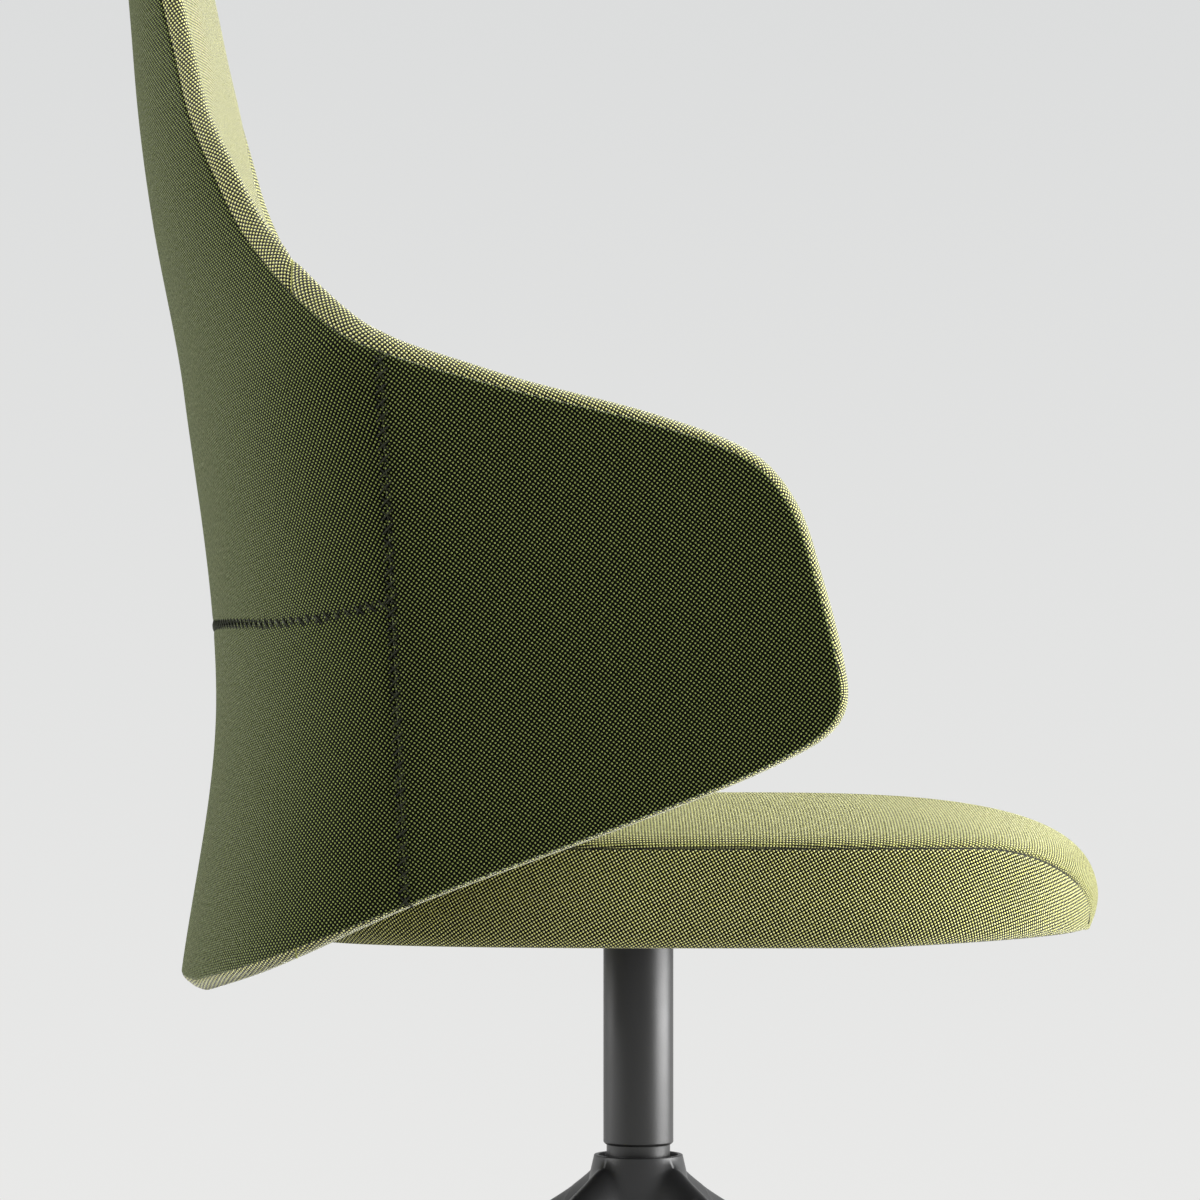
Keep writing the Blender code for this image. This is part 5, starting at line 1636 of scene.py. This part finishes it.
# Moulded tray under the seat: a floor with a shallow step, a turned-up rim and a round opening
def underTray():
    shape = bmesh.new()
    tuck = 1 - seat["tuck"] / seat["halfWidth"]

    def placed(points, rise):
        feet = [seatFoot(point.y - axisY) + rise for point in points]
        return [shape.verts.new((point.x, point.y, foot)) for point, foot in zip(points, feet)]

    def rimLine(inset):
        away = tray["inset"] + inset
        return [seatPoint(k, tuck, 0.0) - out * away for k, out in enumerate(seatOut)]

    def panelLine(part):
        line = []
        for rim, spot in zip(rimLine(tray["panelInset"]), seatRim):
            angle = math.atan2(spot.y + seat["centre"], spot.x)
            hole = Vector((math.cos(angle), math.sin(angle), 0.0)) * tray["opening"]
            line.append(rim.lerp(hole + rearward * axisY, part))
        return line

    floor, high, bend, step = [tray[part] for part in ("floor", "rimHeight", "edgeRound", "step")]
    lines = [(rimLine(floor), high), (rimLine(0.0), high)]
    for turn in range(tray["roundSteps"] + 1):
        angle = quarterTurn * turn / tray["roundSteps"]
        lines.append((rimLine(bend * (1 - math.cos(angle))), bend * (1 - math.sin(angle))))
    lines += [(rimLine(inset), rise) for inset, rise in zip(tray["stepInsets"], (0.0, step))]
    lines += [(panelLine(part), step) for part in tray["panelShares"]]
    opening = ((tray["bossShare"], 0.0), (1.0, 0.0), (1.0, floor))
    lines += [(panelLine(part), rise) for part, rise in opening]
    lines.append((rimLine(floor + tray["rimLap"]), floor))
    loops = [placed(points, rise) for points, rise in lines]
    joinLoops(shape, *loops, loops[0])
    faceOut(shape)
    return meshFrom(shape, "underTray", 40)


addPiece("underTray", underTray(), trayPlastic, "seat", "black_moulded_plastic", "underside_cover")

# Pan-head screw with a round socket, head down
screw = {
    "profile": (
        (0.0030, 0.0080),
        (0.0030, 0.0030),
        (0.0055, 0.0030),
        (0.0055, 0.0012),
        (0.0044, 0.0),
        (0.0022, 0.0),
        (0.0022, 0.0018),
        (0.0003, 0.0020),
    ),
    "bends": {3: 0.0007, 4: 0.0007},
    "steps": 24,
}
screwLine = rounded(screw["profile"], screw["bends"], 3)
screwMesh = turnedMesh("trayScrew", screwLine, screw["steps"], False, 0.0, 30)
screwX, screwY = [pitch / 2 for pitch in tray["screwPitch"]]
screwSpots = []
for x in (-screwX, screwX):
    for y in (seat["centre"] - screwY, seat["centre"] + screwY):
        screwSpots.append((x, axisY + y, seatFoot(y) - tray["screwProud"]))
setOutPieces("trayScrews", screwMesh, screwSpots, zincPlate, "seat", "zinc_plate", "tray_screw")

# Finishes of the nodes that stay as they are
carriedOver = {
    "spindle": brightSteel,
    "plate_socket": columnCoat,
    "mounting_plate": baseCoat,
    "seat_board": plywood,
    "shell_core": plywood,
    "upper_bush": acetal,
    "lower_bush": acetal,
    "thrust_washer": acetal,
    "retaining_washer": zincPlate,
    "retaining_clip": brightSteel,
    "right_back_bracket": baseCoat,
    "left_back_bracket": baseCoat,
}
fastenerWords = ("plate_bolt", "tee_nut", "board_bolt", "core_bolt", "glide_stem")
for name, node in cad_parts.items():
    surface = carriedOver.get(name)
    if any(word in name for word in fastenerWords):
        surface = zincPlate
    if surface:
        node.data.materials.clear()
        node.data.materials.append(surface)
print("carried-over nodes finished")

stage = {
    "floorRadius": 1.05,
    "floorSolid": 0.50,
    "floorColour": "C8C8C7",
    "backTop": "DCDDDD",
    "backLow": "E9E9E8",
    "backSpan": (-0.12, 0.23),
    "ambient": 0.46,
}


# Pale studio floor, painted board: keeps the shadow and fades out into the backdrop
def studioFloor():
    made, tree, shader = startMaterial("painted board, pale grey")
    place = addNode(tree, "ShaderNodeTexCoord", {}).outputs["Object"]
    away = addNode(tree, "ShaderNodeVectorMath", {0: place}, operation="LENGTH").outputs["Value"]
    span = {"Value": away, "From Min": stage["floorSolid"], "From Max": stage["floorRadius"]}
    span.update({"To Min": 1.0, "To Max": 0.0})
    fade = addNode(tree, "ShaderNodeMapRange", span, interpolation_type="SMOOTHSTEP")
    shader.inputs["Base Color"].default_value = linear(stage["floorColour"])
    shader.inputs["Roughness"].default_value = 0.9
    shader.inputs["Specular IOR Level"].default_value = 0.1
    tree.links.new(fade.outputs[0], shader.inputs["Alpha"])
    shape = bmesh.new()
    bmesh.ops.create_circle(shape, cap_ends=True, segments=128, radius=stage["floorRadius"])
    floor = addObject("studioFloor", meshFrom(shape, "studioFloor"))
    floor.data.materials.append(made)


studioFloor()


# Even ambient light; camera, glossy and transmission rays see the pale backdrop, which is
# a little lighter below than above
def backdrop():
    world = bpy.data.worlds.new("studio")
    bpy.context.scene.world = world
    world.use_nodes = True
    tree = world.node_tree
    tree.nodes.clear()
    way = addNode(tree, "ShaderNodeTexCoord", {}).outputs["Generated"]
    height = addNode(tree, "ShaderNodeSeparateXYZ", {0: way}).outputs["Z"]
    low, high = stage["backSpan"]
    part = addNode(tree, "ShaderNodeMapRange", {"Value": height, "From Min": low, "From Max": high})
    shades = {"A": linear(stage["backLow"]), "B": linear(stage["backTop"])}
    shade = addNode(tree, "ShaderNodeMix", {"Factor": part.outputs[0], **shades}, data_type="RGBA")
    seen = addNode(tree, "ShaderNodeBackground", {"Color": shade.outputs["Result"], "Strength": 1.0})
    lit = addNode(tree, "ShaderNodeBackground", {"Color": [1.0] * 4, "Strength": stage["ambient"]})
    ray = addNode(tree, "ShaderNodeLightPath", {}).outputs
    direct = {0: ray["Is Camera Ray"], 1: ray["Is Glossy Ray"]}
    direct = addNode(tree, "ShaderNodeMath", direct, operation="MAXIMUM").outputs[0]
    direct = {0: direct, 1: ray["Is Transmission Ray"]}
    direct = addNode(tree, "ShaderNodeMath", direct, operation="MAXIMUM").outputs[0]
    mixed = addNode(tree, "ShaderNodeMixShader", {0: direct, 1: lit.outputs[0], 2: seen.outputs[0]})
    addNode(tree, "ShaderNodeOutputWorld", {"Surface": mixed.outputs[0]})


backdrop()

lamps = {
    "key": {"place": (-0.3, -2.75, 1.2), "aim": (0.0, 0.0, 0.6), "size": (2.2, 2.2), "watts": 150.0},
    "top": {"place": (-0.2, -0.6, 3.1), "aim": (0.0, 0.0, 0.5), "size": (1.8, 1.8), "watts": 46.0},
    "rim": {"place": (-0.8, 2.7, 1.3), "aim": (0.0, 0.2, 0.7), "size": (1.5, 1.5), "watts": 54.0},
    "low": {"place": (-0.1, -2.4, 0.30), "aim": (0.0, 0.0, 0.26), "size": (2.2, 0.6), "watts": 58.0},
    "heel": {"place": (0.6, 2.4, 0.30), "aim": (0.0, 0.0, 0.26), "size": (1.4, 0.6), "watts": 8.0},
}
for name, lamp in lamps.items():
    light = bpy.data.lights.new(name, "AREA")
    light.energy = lamp["watts"]
    light.shape = "RECTANGLE"
    light.size, light.size_y = lamp["size"]
    holder = addObject(name, light)
    holder.location = lamp["place"]
    aim = Vector(lamp["aim"]) - Vector(lamp["place"])
    holder.rotation_euler = aim.to_track_quat("-Z", "Y").to_euler()

# Side view of the sitter's right, 2.5 m from the middle plane, with the picture moved up
view = {"away": 2.5, "depth": 0.0274, "height": 0.458, "lens": 105.0, "shift": 0.16667}
lens = bpy.data.cameras.new("photoView")
lens.lens = view["lens"]
lens.sensor_width = 36.0
lens.shift_y = view["shift"]
camera = addObject("photoView", lens)
camera.location = (-view["away"], axisY + view["depth"], view["height"])
camera.rotation_euler = (quarterTurn, 0.0, -quarterTurn)
bpy.context.scene.camera = camera
bpy.context.scene.view_settings.view_transform = "Standard"
print("stage set")
